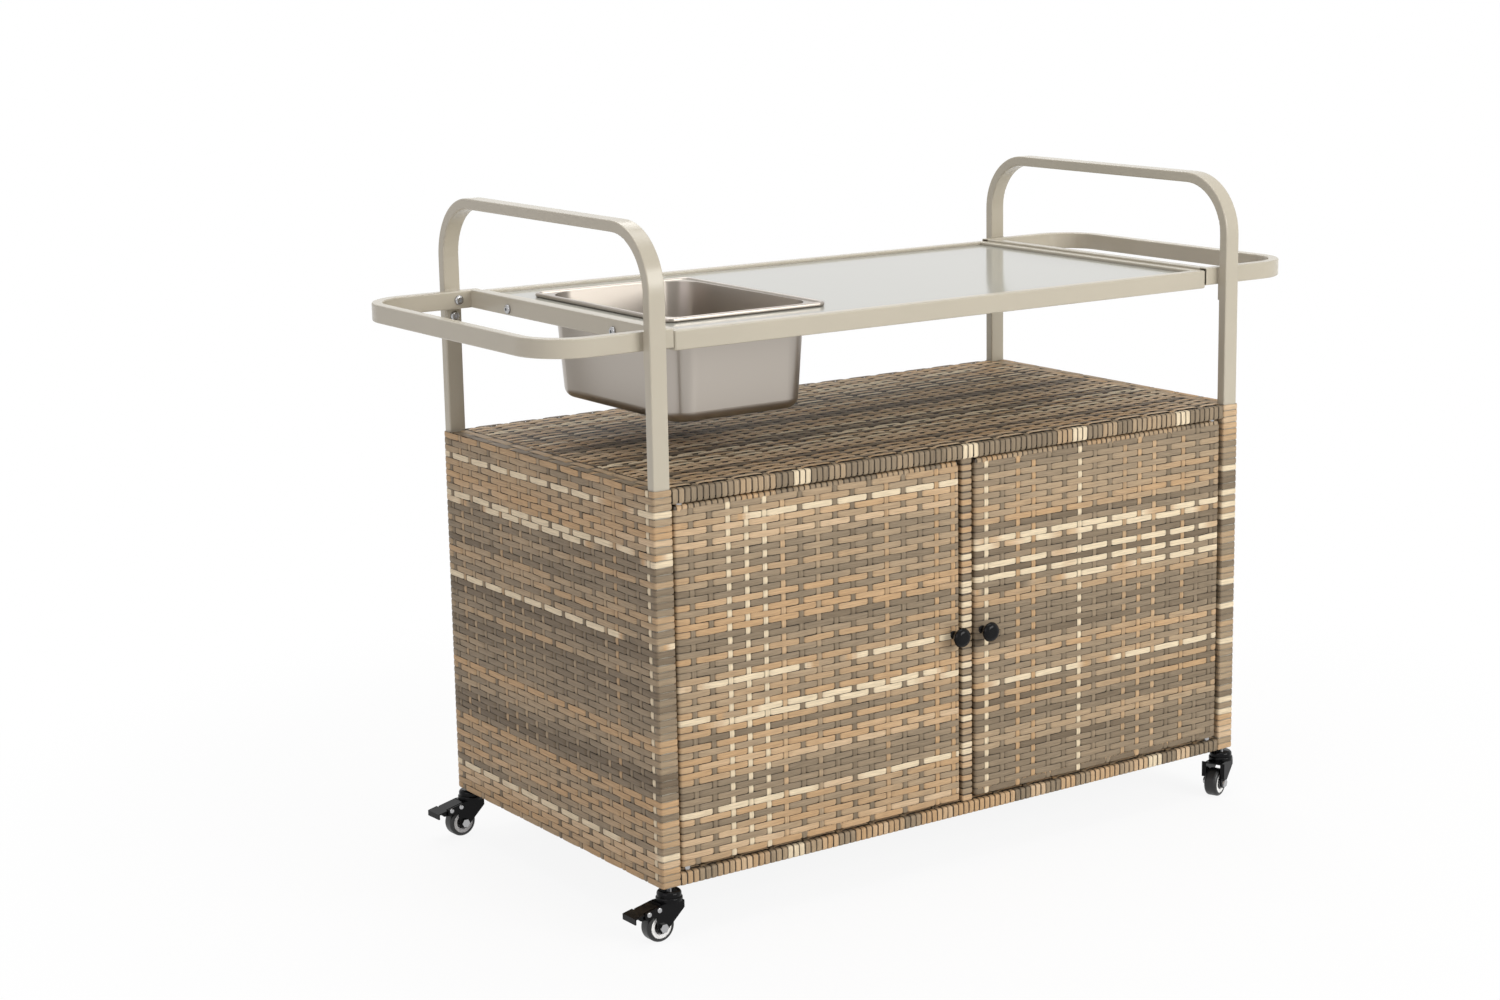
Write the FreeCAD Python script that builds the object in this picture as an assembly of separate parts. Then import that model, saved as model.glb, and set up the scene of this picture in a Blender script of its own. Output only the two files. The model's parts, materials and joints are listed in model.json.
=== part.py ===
"""Outdoor bar cart: wicker cabinet on casters, tube hoops and side handles, tabletop with a lift-out pan.

Millimetres. +Z is up, +X is the cart's right as one faces the doors, -Y is the front.
The origin is on the floor under the middle of the cart.
"""
import FreeCAD
import Part
import math
import os

V = FreeCAD.Vector
X_AXIS = V(1, 0, 0)
Y_AXIS = V(0, 1, 0)
Z_AXIS = V(0, 0, 1)
ORIGIN = V(0, 0, 0)

# Cabinet and hoops
cabinet_length = 1016.0     # over the outer faces of the legs
cabinet_depth = 554.0       # over the outer faces of the legs
cabinet_tall = 526.5        # from the bottoms of the legs to the top of the steel frames under the weave
shelf_space = 204.0         # from there to the tops of the handles
hoop_rise = 134.5           # from there to the tops of the hoops
tube_wide = 25.0
tube_deep = 15.0
tube_wall = 1.2
tube_corner = 2.0
hoop_bend = 88.0            # outside radius
weave = 2.0
weave_corner = 3.0
deck_tube = 15.0
deck_bars = 2               # bars across the shelf and the base, between their ends

# Side handles and tabletop
handle_reach = 650.0        # from the middle of the cart to the outer face of the handle
handle_bend = 72.0          # outside radius
cross_rail_gap = 7.0        # from the inner faces of the legs to the cross rails
bracket_thick = 3.0
bracket_wide = 22.0
bracket_drop = 23.0
table_gap = 1.0             # between a cross rail and the tabletop, filled by washers
table_drop = 3.0            # tabletop rails below the tops of the handles
table_rail_tall = 26.0
table_rail_wide = 15.0
table_corner = 4.0
sheet_drop = 4.5
sheet_thick = 1.5
sheet_clearance = 0.3
ledge_wide = 12.0
ledge_thick = 2.0

# Lift-out pan
pan_margin = 43.0           # from the tabletop's left end to the rim
pan_length = 258.0          # over the rim, along X
pan_depth = 352.0           # over the rim, along Y
pan_tall = 144.0            # from the flange to the floor
pan_flange = 11.0
pan_taper = 11.0            # how far each wall leans in from top to bottom
pan_wall = 0.8
pan_corner = 45.0
pan_floor_round = 16.0
rim_corner = 14.0
rim_tall = 6.5              # rolled edge, which stands on the sheet
rim_wide = 6.5
rim_step = 2.5              # from the top of the rolled edge down to the flange
pan_cut_clearance = 3.0

# Doors
door_side_gap = 3.0
door_post_gap = 4.0
door_bottom_gap = 5.5
door_top_gap = 3.0
door_setback = 3.0
door_round = 6.0
stile_wide = 20.0
post_wide = 15.0
post_setback = 3.5
pin_diameter = 8.0
pin_collar = 13.0
pin_hole = 14.0             # opening in the weave round a pin's collar
pin_grip = 18.0
bush_tall = 20.0
running_fit = 0.1
rest_gap = 0.3
knob_drop = 2.0             # knobs below the middle of the doors
knob_disc = 28.0
knob_stem = 12.0
knob_reach = 26.0
stud_diameter = 5.0
knob_nut = 8.0              # across flats
knob_nut_tall = 4.0
catch_drop = 44.0           # catch below the shelf
catch_wide = 66.0
catch_tall = 24.0
catch_deep = 8.0
catch_stand = 4.0           # from the backs of the doors
strike_wide = 16.0
strike_thick = 1.5
strike_edge = 4.0           # from the door's free edge
magnet_margin = 2.0

# Fasteners
bolt_diameter = 6.0
bolt_head = 13.5
bolt_head_tall = 4.0
bolt_socket = 4.0           # across flats
bolt_socket_deep = 2.0
bolt_tail = 9.2             # past the face of the last wall
rivet_nut_outer = 9.0
rivet_nut_long = 8.0
washer_outer = 14.0
cross_bolt_spread = 138.0   # from the middle line
panel_screw_diameter = 5.0
panel_screw_head = 10.0
panel_screw_head_tall = 3.0
panel_screw_grip = 10.0
panel_screw_spread = 200.0

# Casters
wheel_diameter = 42.0
tyre_wide = 20.0
tyre_bore = 32.0
tyre_round = 4.5
core_wide = 18.0
core_rim = 5.5
core_web = 5.0
core_boss = 13.0
core_hub = 9.0              # along the axle
axle_diameter = 6.0
axle_head = 11.0
axle_head_tall = 4.0
axle_sleeve = 12.0
caster_trail = 19.0
fork_inside = 23.0
fork_plate = 2.0
fork_headroom = 10.0        # wheel to the top of the fork
fork_nose = 15.0            # ahead of the swivel axis
fork_brow = 10.0            # upright part of the nose
fork_boss = 8.0
fork_lip = 5.0              # flange turned out along the tail of a plain fork
fork_crest = 18.0           # from the swivel axis to where the cheeks of a braked fork begin to slope
race_diameter = 36.0
race_tall = 6.0
race_cap = 33.0
race_cap_tall = 7.7
swivel_pin = 8.0
swivel_rivet = 13.0
swivel_rivet_tall = 3.2
stem_diameter = 10.0
stem_neck = 4.0             # bare stem between the race and the leg
insert_tall = 25.0
caster_turn = {"front_left": 181.0, "rear_left": 183.0, "front_right": 202.0, "rear_right": 195.0}
braked = ("front_left", "rear_left")

# Brake pedals, measured from the swivel axis towards the trailing side
hood_out = 46.0             # tail of the sloping cheeks
hood_drop = 6.0
hood_skirt_drop = 15.0
pedal_pivot_out = 24.0
pedal_pivot_drop = 6.0      # below the top of the fork
pedal_pin = 4.0
pedal_barrel = 7.0
pedal_wide_inside = 21.0
pedal_wide_outside = 30.0
pedal_thick = 2.0
pedal_proud = 0.6           # pedal plate above the edges of the cheeks
pedal_start = 20.0
pedal_flare = 48.5
pedal_end = 63.0
pedal_lip = 8.0
shoe_start = 40.0
shoe_end = 55.0
shoe_drop = 16.0
shoe_round = 6.0
rivet_head = 7.0
rivet_head_tall = 1.5
shoe_rivet_out = 40.0
shoe_rivet_drop = 8.5

# Worked out from the sizes above
axle_height = wheel_diameter / 2
fork_top = wheel_diameter + fork_headroom
race_top = fork_top + race_tall
race_cap_top = race_top + rest_gap + race_cap_tall
leg_bottom = race_cap_top + stem_neck
fork_tail = caster_trail + fork_boss
pedal_pivot_height = fork_top - pedal_pivot_drop
shoe_rivet_height = fork_top - shoe_rivet_drop
hood_height = fork_top - hood_drop
hood_skirt = fork_top - hood_skirt_drop
cabinet_top = leg_bottom + cabinet_tall
handle_top = cabinet_top + shelf_space
hoop_top = handle_top + hoop_rise
half_length = cabinet_length / 2
half_depth = cabinet_depth / 2
leg_inner_x = half_length - tube_wide
leg_inner_y = half_depth - tube_deep
leg_x = half_length - tube_wide / 2
leg_y = half_depth - tube_deep / 2
bay_half = leg_inner_x - weave                  # inner face of the woven ends
skin_half_depth = half_depth + weave
deck_thick = deck_tube + 2 * weave
shelf_bottom = cabinet_top - deck_tube - weave
base_bottom = leg_bottom - weave
base_top = base_bottom + deck_thick
arm_outer_y = leg_inner_y - bracket_thick
arm_inner_y = arm_outer_y - tube_deep
handle_bottom = handle_top - tube_wide
handle_middle = handle_top - tube_wide / 2
cross_rail_outer = leg_inner_x - cross_rail_gap
cross_rail_inner = cross_rail_outer - tube_deep
table_half_length = cross_rail_inner - table_gap
table_top = handle_top - table_drop
table_bottom = table_top - table_rail_tall
table_middle = table_top - table_rail_tall / 2
sheet_top = table_top - sheet_drop
sheet_half_length = table_half_length - table_rail_wide - sheet_clearance
sheet_half_depth = arm_outer_y - table_rail_wide - sheet_clearance
rim_top = sheet_top + rim_tall
flange_top = rim_top - rim_step
pan_centre = -table_half_length + pan_margin + pan_length / 2
door_outer = bay_half - door_side_gap
post_half = post_wide / 2 + weave
door_inner = post_half + door_post_gap
door_bottom = base_top + door_bottom_gap
door_top = shelf_bottom - door_top_gap
knob_height = (door_bottom + door_top) / 2 - knob_drop
catch_height = shelf_bottom - catch_drop
door_front = -skin_half_depth + door_setback
door_back = door_front + deck_tube + 2 * weave
pivot_x = door_outer - weave - stile_wide / 2
pivot_y = (door_front + door_back) / 2
post_front = -skin_half_depth + post_setback
post_back = door_back + catch_stand


def block(x, y, z):
    """A box from three (low, high) pairs."""
    return Part.makeBox(x[1] - x[0], y[1] - y[0], z[1] - z[0], V(x[0], y[0], z[0]))


def both(half):
    return (-half, half)


def rod(diameter, start, end):
    """A cylinder between two points."""
    axis = end - start
    return Part.makeCylinder(diameter / 2, axis.Length, start, axis)


def hexagon(flats, start, end):
    """A hexagonal bar between two points."""
    axis = end - start
    corner = flats / math.sqrt(3)
    points = [V(corner * math.cos(math.radians(60 * i)), corner * math.sin(math.radians(60 * i)), 0)
              for i in range(7)]
    bar = Part.Face(Part.makePolygon(points)).extrude(V(0, 0, axis.Length))
    bar.Placement = FreeCAD.Placement(start, FreeCAD.Rotation(Z_AXIS, axis))
    return bar


def cut_all(shape, tools):
    for tool in tools:
        shape = shape.cut(tool)
    return shape


def fuse_all(shapes):
    whole = shapes[0]
    for shape in shapes[1:]:
        whole = whole.fuse(shape)
    return whole.removeSplitter()


def mirrored(shape):
    """The same piece on the other side, left for right."""
    return shape.mirror(ORIGIN, X_AXIS)


def group(shapes):
    return Part.makeCompound(shapes)


def straight_along(edge, axis):
    if not isinstance(edge.Curve, (Part.Line, Part.LineSegment)):
        return False
    run = edge.Vertexes[-1].Point - edge.Vertexes[0].Point
    return abs(abs(run.dot(axis)) - run.Length) < 1e-6


def round_edges(shape, radius, wanted):
    return shape.makeFillet(radius, [edge for edge in shape.Edges if wanted(edge)])


def tube(x, y, z, axis):
    """A straight rectangular tube, open at both ends, with rounded long edges."""
    outside = round_edges(block(x, y, z), tube_corner, lambda edge: straight_along(edge, axis))
    sides = [x, y, z]
    inside = []
    for pair, direction in zip(sides, (X_AXIS, Y_AXIS, Z_AXIS)):
        inset = 0.0 if direction == axis else tube_wall
        inside.append((pair[0] + inset, pair[1] - inset))
    return outside.cut(block(*inside))


def u_solid(half, foot, crown, bend, deep, across):
    """A flat U in the YZ plane, legs at +-half, `deep` in its own plane and `across` thick along X."""
    def half_points(offset):
        top = crown - offset
        radius = bend - offset
        side = half - offset
        return side, top, radius

    def arch(offset):
        side, top, radius = half_points(offset)
        low = top - radius
        near = side - radius
        swing = radius * math.sqrt(0.5)
        return [
            (V(0, -side, foot), None, V(0, -side, low)),
            (V(0, -side, low), V(0, -near - swing, low + swing), V(0, -near, top)),
            (V(0, -near, top), None, V(0, near, top)),
            (V(0, near, top), V(0, near + swing, low + swing), V(0, side, low)),
            (V(0, side, low), None, V(0, side, foot)),
        ]

    edges = []
    for runs in (arch(0.0), arch(deep)):
        for start, middle, end in runs:
            curve = Part.LineSegment(start, end) if middle is None else Part.Arc(start, middle, end)
            edges.append(curve.toShape())
    for side in (-1, 1):
        foot_line = Part.LineSegment(V(0, side * half, foot), V(0, side * (half - deep), foot))
        edges.append(foot_line.toShape())
    wire = Part.Wire(Part.__sortEdges__(edges))
    return Part.Face(wire).extrude(V(across, 0, 0))


def u_tube(half, foot, crown, bend, deep, across):
    """A bent rectangular tube: the U above, hollow, open at its feet."""
    solid = u_solid(half, foot, crown, bend, deep, across)

    def along_the_tube(edge):
        box = edge.BoundBox
        flat = box.XLength < 1e-6
        return flat and not (box.ZMax < foot + 1e-6)

    solid = round_edges(solid, tube_corner, along_the_tube)
    bore = u_solid(half - tube_wall, foot, crown - tube_wall, bend - tube_wall,
                   deep - 2 * tube_wall, across - 2 * tube_wall)
    bore.translate(V(tube_wall, 0, 0))
    return solid.cut(bore)


def rounded_plate(length, depth, corner, height, thick):
    """An upright prism on a rounded rectangle about the Z axis."""
    plate = block(both(length / 2), both(depth / 2), (height, height + thick))
    return round_edges(plate, corner, lambda edge: straight_along(edge, Z_AXIS))


def rounded_loop(length, depth, corner, height):
    """The outline of a rounded rectangle about the Z axis."""
    plate = rounded_plate(length, depth, corner, height, 1.0)
    lowest = min(plate.Faces, key=lambda face: face.CenterOfMass.z)
    return lowest.OuterWire


# Fasteners

def bolt(head_seat, tip):
    """A button-head bolt: the head stands behind head_seat, the shank ends at tip."""
    axis = (tip - head_seat).normalize()
    head_end = head_seat - axis * bolt_head_tall
    head = rod(bolt_head, head_end, head_seat)
    crown_edges = [edge for edge in head.Edges
                   if isinstance(edge.Curve, Part.Circle) and (edge.Curve.Center - head_end).Length < 1e-6]
    head = head.makeFillet(bolt_head_tall * 0.7, crown_edges)
    whole = head.fuse(rod(bolt_diameter, head_seat, tip)).removeSplitter()
    return whole.cut(hexagon(bolt_socket, head_end, head_end + axis * bolt_socket_deep))


def ring(outer, inner, start, end):
    return rod(outer, start, end).cut(rod(inner, start, end))


def leg_spots():
    return [(side, end) for side in (-1, 1) for end in (-1, 1)]


def leg_bolts():
    """(head seat, tip) of the two bolts at each leg, through the handle arm and the bracket."""
    tip_y = leg_inner_y + bolt_tail
    low = handle_bottom - bracket_drop / 2
    found = []
    for side, end in leg_spots():
        x = side * leg_x
        found.append((V(x, end * arm_inner_y, handle_middle), V(x, end * tip_y, handle_middle)))
        found.append((V(x, end * arm_outer_y, low), V(x, end * tip_y, low)))
    return found


def cross_bolts():
    """(head seat, tip) of the bolts through the cross rails into the tabletop's end rails."""
    found = []
    for side, end in leg_spots():
        y = end * cross_bolt_spread
        seat = V(side * cross_rail_outer, y, table_middle)
        tip = V(side * (table_half_length - bolt_tail), y, table_middle)
        found.append((seat, tip))
    return found


def frame_bolts():
    return group([bolt(seat, tip) for seat, tip in leg_bolts() + cross_bolts()])


def rivet_nuts():
    """Threaded inserts behind the last wall of every bolt."""
    nuts = []
    for seat, tip in leg_bolts() + cross_bolts():
        axis = (tip - seat).normalize()
        start = tip - axis * (bolt_tail - tube_wall)
        nuts.append(ring(rivet_nut_outer, bolt_diameter, start, start + axis * rivet_nut_long))
    return group(nuts)


def rail_washers():
    washers = []
    for seat, tip in cross_bolts():
        side = 1 if seat.x > 0 else -1
        start = V(side * table_half_length, seat.y, seat.z)
        stop = V(side * cross_rail_inner, seat.y, seat.z)
        washers.append(ring(washer_outer, bolt_diameter, start, stop))
    return group(washers)


def panel_screw_spots():
    """Axis heights of the screws that join the shelf and the base to the end frames."""
    shelf_line = cabinet_top - deck_tube / 2
    base_line = leg_bottom + weave / 2 + deck_tube / 2
    return [(side, end * panel_screw_spread, z)
            for side, end in leg_spots() for z in (base_line, shelf_line)]


def panel_screw(side, y, z):
    seat = V(side * (leg_inner_x + tube_wall), y, z)
    tip = V(side * (bay_half - panel_screw_grip), y, z)
    head = rod(panel_screw_head, seat, seat + V(side * panel_screw_head_tall, 0, 0))
    return head.fuse(rod(panel_screw_diameter, seat, tip)).removeSplitter()


def panel_screw_holes():
    return [rod(panel_screw_diameter, V(side * (leg_inner_x + tube_wall), y, z),
                V(side * (bay_half - panel_screw_grip), y, z)) for side, y, z in panel_screw_spots()]


# Hoops, handles and tabletop

def hoop(side):
    shape = u_tube(half_depth, leg_bottom, hoop_top, hoop_bend, tube_deep, tube_wide)
    shape.translate(V(leg_inner_x if side > 0 else -half_length, 0, 0))
    return cut_all(shape, [rod(bolt_diameter, seat, tip) for seat, tip in leg_bolts() if seat.x * side > 0])


def handle(side):
    shape = u_tube(arm_outer_y, cross_rail_inner, handle_reach, handle_bend, tube_deep, tube_wide)
    shape.rotate(ORIGIN, Y_AXIS, 90)
    shape.translate(V(0, 0, handle_top))
    if side < 0:
        shape = mirrored(shape)
    return cut_all(shape, [rod(bolt_diameter, seat, tip) for seat, tip in leg_bolts() if seat.x * side > 0])


def cross_rails():
    rails = []
    for side in (-1, 1):
        reach = sorted((side * cross_rail_inner, side * cross_rail_outer))
        rail = tube(reach, both(arm_inner_y), (handle_bottom, handle_top), Y_AXIS)
        rails.append(cut_all(rail, [rod(bolt_diameter, seat, tip) for seat, tip in cross_bolts()
                                    if seat.x * side > 0]))
    return group(rails)


def handle_brackets():
    plates = []
    for side, end in leg_spots():
        wide = (side * leg_x - bracket_wide / 2, side * leg_x + bracket_wide / 2)
        deep = sorted((end * arm_outer_y, end * leg_inner_y))
        plate = block(wide, deep, (handle_bottom - bracket_drop, handle_top))
        plates.append(cut_all(plate, [rod(bolt_diameter, seat, tip) for seat, tip in leg_bolts()
                                      if seat.x * side > 0 and seat.y * end > 0]))
    return group(plates)


def table_long_rail(end):
    """A front or back rail: a tube with a ledge inside that carries the sheet."""
    deep = sorted((end * arm_outer_y, end * (arm_outer_y - table_rail_wide)))
    rail = block(both(table_half_length), deep, (table_bottom, table_top))
    outer_face = end * arm_outer_y

    def outer_corner(edge):
        return straight_along(edge, Z_AXIS) and abs(edge.Vertexes[0].Y - outer_face) < 1e-6

    rail = round_edges(rail, table_corner, outer_corner)
    rail = round_edges(rail, tube_corner, lambda edge: straight_along(edge, X_AXIS))
    bore = block(both(table_half_length - table_corner), (deep[0] + tube_wall, deep[1] - tube_wall),
                 (table_bottom + tube_wall, table_top - tube_wall))
    inner_face = arm_outer_y - table_rail_wide
    ledge_deep = sorted((end * inner_face, end * (inner_face - ledge_wide)))
    ledge_top = sheet_top - sheet_thick
    ledge = block(both(table_half_length - table_rail_wide), ledge_deep, (ledge_top - ledge_thick, ledge_top))
    return rail.cut(bore).fuse(ledge).removeSplitter()


def table_end_rails():
    rails = []
    for side in (-1, 1):
        reach = sorted((side * (table_half_length - table_rail_wide), side * table_half_length))
        rail = tube(reach, both(arm_outer_y - table_rail_wide), (table_bottom, table_top), Y_AXIS)
        ledge_reach = sorted((side * (table_half_length - table_rail_wide),
                              side * (table_half_length - table_rail_wide - ledge_wide)))
        ledge_top = sheet_top - sheet_thick
        ledge = block(ledge_reach, both(arm_outer_y - table_rail_wide - ledge_wide),
                      (ledge_top - ledge_thick, ledge_top))
        rail = rail.fuse(ledge).removeSplitter()
        rails.append(cut_all(rail, [rod(bolt_diameter, seat, tip) for seat, tip in cross_bolts()
                                    if seat.x * side > 0]))
    return group(rails)


def pan_mouth():
    return pan_length - 2 * pan_flange, pan_depth - 2 * pan_flange


def top_sheet():
    sheet = block(both(sheet_half_length), both(sheet_half_depth), (sheet_top - sheet_thick, sheet_top))
    mouth_length, mouth_depth = pan_mouth()
    hole = rounded_plate(mouth_length + 2 * pan_cut_clearance, mouth_depth + 2 * pan_cut_clearance,
                         pan_corner + pan_cut_clearance, sheet_top - 2 * sheet_thick, 3 * sheet_thick)
    hole.translate(V(pan_centre, 0, 0))
    return sheet.cut(hole)


# Pan

def pan_bowl(inset, top, bottom, floor_round):
    mouth_length, mouth_depth = pan_mouth()
    loops = []
    for shrink, height in ((inset, top), (inset + pan_taper, bottom)):
        length = mouth_length - 2 * shrink
        depth = mouth_depth - 2 * shrink
        loops.append(rounded_loop(length, depth, pan_corner - shrink, height))
    bowl = Part.makeLoft(loops, True, True)
    return round_edges(bowl, floor_round, lambda edge: edge.BoundBox.ZMax < bottom + 1e-6)


def pan_rim():
    """The rolled edge: a bar of nearly round section along the outline."""
    solid = rounded_plate(pan_length, pan_depth, rim_corner, sheet_top, rim_tall)
    hole = rounded_plate(pan_length - 2 * rim_wide, pan_depth - 2 * rim_wide, rim_corner - rim_wide,
                         sheet_top, rim_tall)
    bar = solid.cut(hole)
    return round_edges(bar, rim_wide * 0.42, lambda edge: edge.BoundBox.ZLength < 1e-6)


def ice_pan():
    bottom = flange_top - pan_tall
    bowl = pan_bowl(0.0, flange_top, bottom, pan_floor_round)
    flange = rounded_plate(pan_length - rim_wide, pan_depth - rim_wide, rim_corner - rim_wide / 2,
                           flange_top - pan_wall, pan_wall)
    whole = fuse_all([bowl, flange, pan_rim()])
    inside = pan_bowl(pan_wall, flange_top, bottom + pan_wall, pan_floor_round - pan_wall)
    pan = whole.cut(inside)
    pan.translate(V(pan_centre, 0, 0))
    return pan


# Wicker panels: a steel tube frame in each, and the woven skin round it

def pivot_spots():
    return [side * pivot_x for side in (-1, 1)]


def pivot_pin_lengths():
    """(low, high) of the lower pins, then of the upper pins."""
    lower = (leg_bottom + tube_wall, door_bottom + weave + pin_grip)
    upper = (door_top - weave - pin_grip, cabinet_top - tube_wall)
    return lower, upper


def pivot_holes():
    return [rod(pin_diameter, V(x, pivot_y, low), V(x, pivot_y, high))
            for x in pivot_spots() for low, high in pivot_pin_lengths()]


def door_pivot_pins():
    lower, upper = pivot_pin_lengths()
    collars = ((lower, (base_top, door_bottom + weave - rest_gap)),
               (upper, (door_top - weave + rest_gap, shelf_bottom)))
    pins = []
    for x in pivot_spots():
        for shank, collar in collars:
            pin = rod(pin_diameter, V(x, pivot_y, shank[0]), V(x, pivot_y, shank[1]))
            collar_ring = rod(pin_collar, V(x, pivot_y, collar[0]), V(x, pivot_y, collar[1]))
            pins.append(pin.fuse(collar_ring).removeSplitter())
    return group(pins)


def end_rails():
    rails = []
    for side in (-1, 1):
        reach = sorted((side * leg_inner_x, side * half_length))
        for top in (leg_bottom + weave + deck_tube, cabinet_top):
            rail = tube(reach, both(leg_inner_y), (top - deck_tube, top), Y_AXIS)
            rails.append(cut_all(rail, [hole for hole, spot in zip(panel_screw_holes(), panel_screw_spots())
                                        if spot[0] == side]))
    return group(rails)


def end_weave(side):
    outer_reach = sorted((side * bay_half, side * (half_length + weave)))
    tube_reach = sorted((side * leg_inner_x, side * half_length))
    window_reach = sorted((side * bay_half, side * leg_inner_x))
    skin = block(outer_reach, both(skin_half_depth), (leg_bottom, cabinet_top + weave))

    def outer_upright(edge):
        return straight_along(edge, Z_AXIS) and abs(edge.Vertexes[0].X) > half_length

    skin = round_edges(skin, weave_corner, outer_upright)
    cavity = block(tube_reach, both(half_depth), (leg_bottom + weave, cabinet_top))
    window = block(window_reach, both(leg_inner_y), (leg_bottom + weave + deck_tube, cabinet_top - deck_tube))
    tall = (leg_bottom, cabinet_top + weave)
    leg_ways = [block(tube_reach, sorted((end * leg_inner_y, end * half_depth)), tall) for end in (-1, 1)]
    return cut_all(skin, [cavity, window] + leg_ways + panel_screw_holes())


def deck_frame(bottom):
    tall = (bottom, bottom + deck_tube)
    long_half = bay_half
    ring_half = half_depth - deck_tube
    tubes = []
    for end in (-1, 1):
        tubes.append(tube(both(long_half), sorted((end * ring_half, end * half_depth)), tall, X_AXIS))
    places = [-long_half, long_half - deck_tube]
    step = 2 * long_half / (deck_bars + 1)
    places += [-long_half + step * (i + 1) - deck_tube / 2 for i in range(deck_bars)]
    tubes += [tube((x, x + deck_tube), both(ring_half), tall, Y_AXIS) for x in places]
    return group([cut_all(piece, panel_screw_holes() + pivot_holes()) for piece in tubes])


def deck_weave(bottom):
    skin = block(both(bay_half), both(skin_half_depth), (bottom, bottom + deck_thick))
    skin = round_edges(skin, weave_corner, lambda edge: straight_along(edge, X_AXIS))
    cavity = block(both(bay_half), both(half_depth), (bottom + weave, bottom + weave + deck_tube))
    window = block(both(bay_half - deck_tube), both(half_depth - deck_tube), (bottom, bottom + weave))
    return cut_all(skin, [cavity, window] + pivot_holes())


def ring_frame(x, y, z, wide):
    """Four tubes round an upright panel: full-height stiles, rails between them."""
    stiles = [tube((x[0], x[0] + wide), y, z, Z_AXIS), tube((x[1] - wide, x[1]), y, z, Z_AXIS)]
    rails = [tube((x[0] + wide, x[1] - wide), y, (z[0], z[0] + wide), X_AXIS),
             tube((x[0] + wide, x[1] - wide), y, (z[1] - wide, z[1]), X_AXIS)]
    return stiles + rails


def panel_skin(x, y, z, wide, open_side, corner):
    """A woven face with wrapped edges, open at the back between the tubes; open_side is +1 or -1 along Y."""
    skin = round_edges(block(x, y, z), corner, lambda edge: straight_along(edge, Z_AXIS))
    cavity = block((x[0] + weave, x[1] - weave), (y[0] + weave, y[1] - weave), (z[0] + weave, z[1] - weave))
    back = (y[1] - weave, y[1]) if open_side > 0 else (y[0], y[0] + weave)
    border = weave + wide
    window = block((x[0] + border, x[1] - border), back, (z[0] + border, z[1] - border))
    return skin.cut(cavity).cut(window)


def back_frame():
    return group(ring_frame(both(bay_half - weave), (half_depth - deck_tube, half_depth),
                            (base_top + weave, shelf_bottom - weave), deck_tube))


def back_weave():
    deep = (skin_half_depth - deck_thick, skin_half_depth)
    return panel_skin(both(bay_half), deep, (base_top, shelf_bottom), deck_tube, -1, weave_corner * 0.5)


post_deep = (post_front + weave, post_back - weave)
post_tall = (base_top, shelf_bottom)


def centre_post():
    return tube(both(post_wide / 2), post_deep, post_tall, Z_AXIS)


def centre_post_weave():
    sleeve = block(both(post_half), (post_front, post_back), post_tall)
    sleeve = round_edges(sleeve, weave_corner, lambda edge: straight_along(edge, Z_AXIS))
    return sleeve.cut(block(both(post_wide / 2), post_deep, post_tall))


# Doors, modelled on the left

door_x = (-door_outer, -door_inner)
door_z = (door_bottom, door_top)
knob_x = -(door_inner + weave + stile_wide / 2)


def stud_hole():
    end = door_back + knob_nut_tall
    return rod(stud_diameter, V(knob_x, door_front, knob_height), V(knob_x, end, knob_height))


def door_frame():
    inset_x = (door_x[0] + weave, door_x[1] - weave)
    inset_z = (door_z[0] + weave, door_z[1] - weave)
    pieces = ring_frame(inset_x, (door_front + weave, door_back - weave), inset_z, stile_wide)
    return group([piece.cut(stud_hole()) for piece in pieces])


def door_weave():
    skin = panel_skin(door_x, (door_front, door_back), door_z, stile_wide, 1, door_round)
    holes = [rod(pin_hole, V(-pivot_x, pivot_y, low), V(-pivot_x, pivot_y, low + weave))
             for low in (door_bottom, door_top - weave)]
    return cut_all(skin, holes + [stud_hole()])


def door_bushes():
    """Plugs in the ends of the hinge stile, bored for the pivot pins."""
    side = stile_wide / 2 - tube_wall
    deep = (door_front + weave + tube_wall, door_back - weave - tube_wall)
    bushes = []
    for low in (door_bottom + weave, door_top - weave - bush_tall):
        plug = block((-pivot_x - side, -pivot_x + side), deep, (low, low + bush_tall))
        bottom = V(-pivot_x, pivot_y, low)
        bore = rod(pin_diameter + 2 * running_fit, bottom, bottom + V(0, 0, bush_tall))
        bushes.append(plug.cut(bore))
    return group(bushes)


def door_knob():
    """A mushroom knob with its stud, and the nut behind the door."""
    stem = knob_stem / 2
    disc = knob_disc / 2
    face = knob_reach
    under = knob_reach * 0.56
    shoulder = under + (face - under) * 0.45
    stud = stud_diameter / 2
    tail = door_front - door_back - knob_nut_tall
    crown = (V(disc, 0, shoulder), V(disc * 0.78, 0, face - (face - under) * 0.14), V(disc * 0.4, 0, face))
    neck = (V(stem, 0, 0), V(stem * 0.72, 0, under * 0.55), V(disc * 0.8, 0, under))
    outline = [V(0, 0, tail), V(stud, 0, tail), V(stud, 0, 0), neck[0]]
    edges = [Part.LineSegment(a, b) for a, b in zip(outline, outline[1:])]
    edges += [Part.Arc(*neck), Part.LineSegment(neck[2], crown[0]), Part.Arc(*crown)]
    edges += [Part.LineSegment(crown[2], V(0, 0, face)), Part.LineSegment(V(0, 0, face), outline[0])]
    profile = Part.Face(Part.Wire([edge.toShape() for edge in edges]))
    knob = profile.revolve(ORIGIN, Z_AXIS, 360)
    knob.rotate(ORIGIN, X_AXIS, 90)
    knob.translate(V(knob_x, door_front, knob_height))
    seat = V(knob_x, door_back, knob_height)
    nut = hexagon(knob_nut, seat, seat + V(0, knob_nut_tall, 0))
    return group([knob, nut.cut(stud_hole())])


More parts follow.
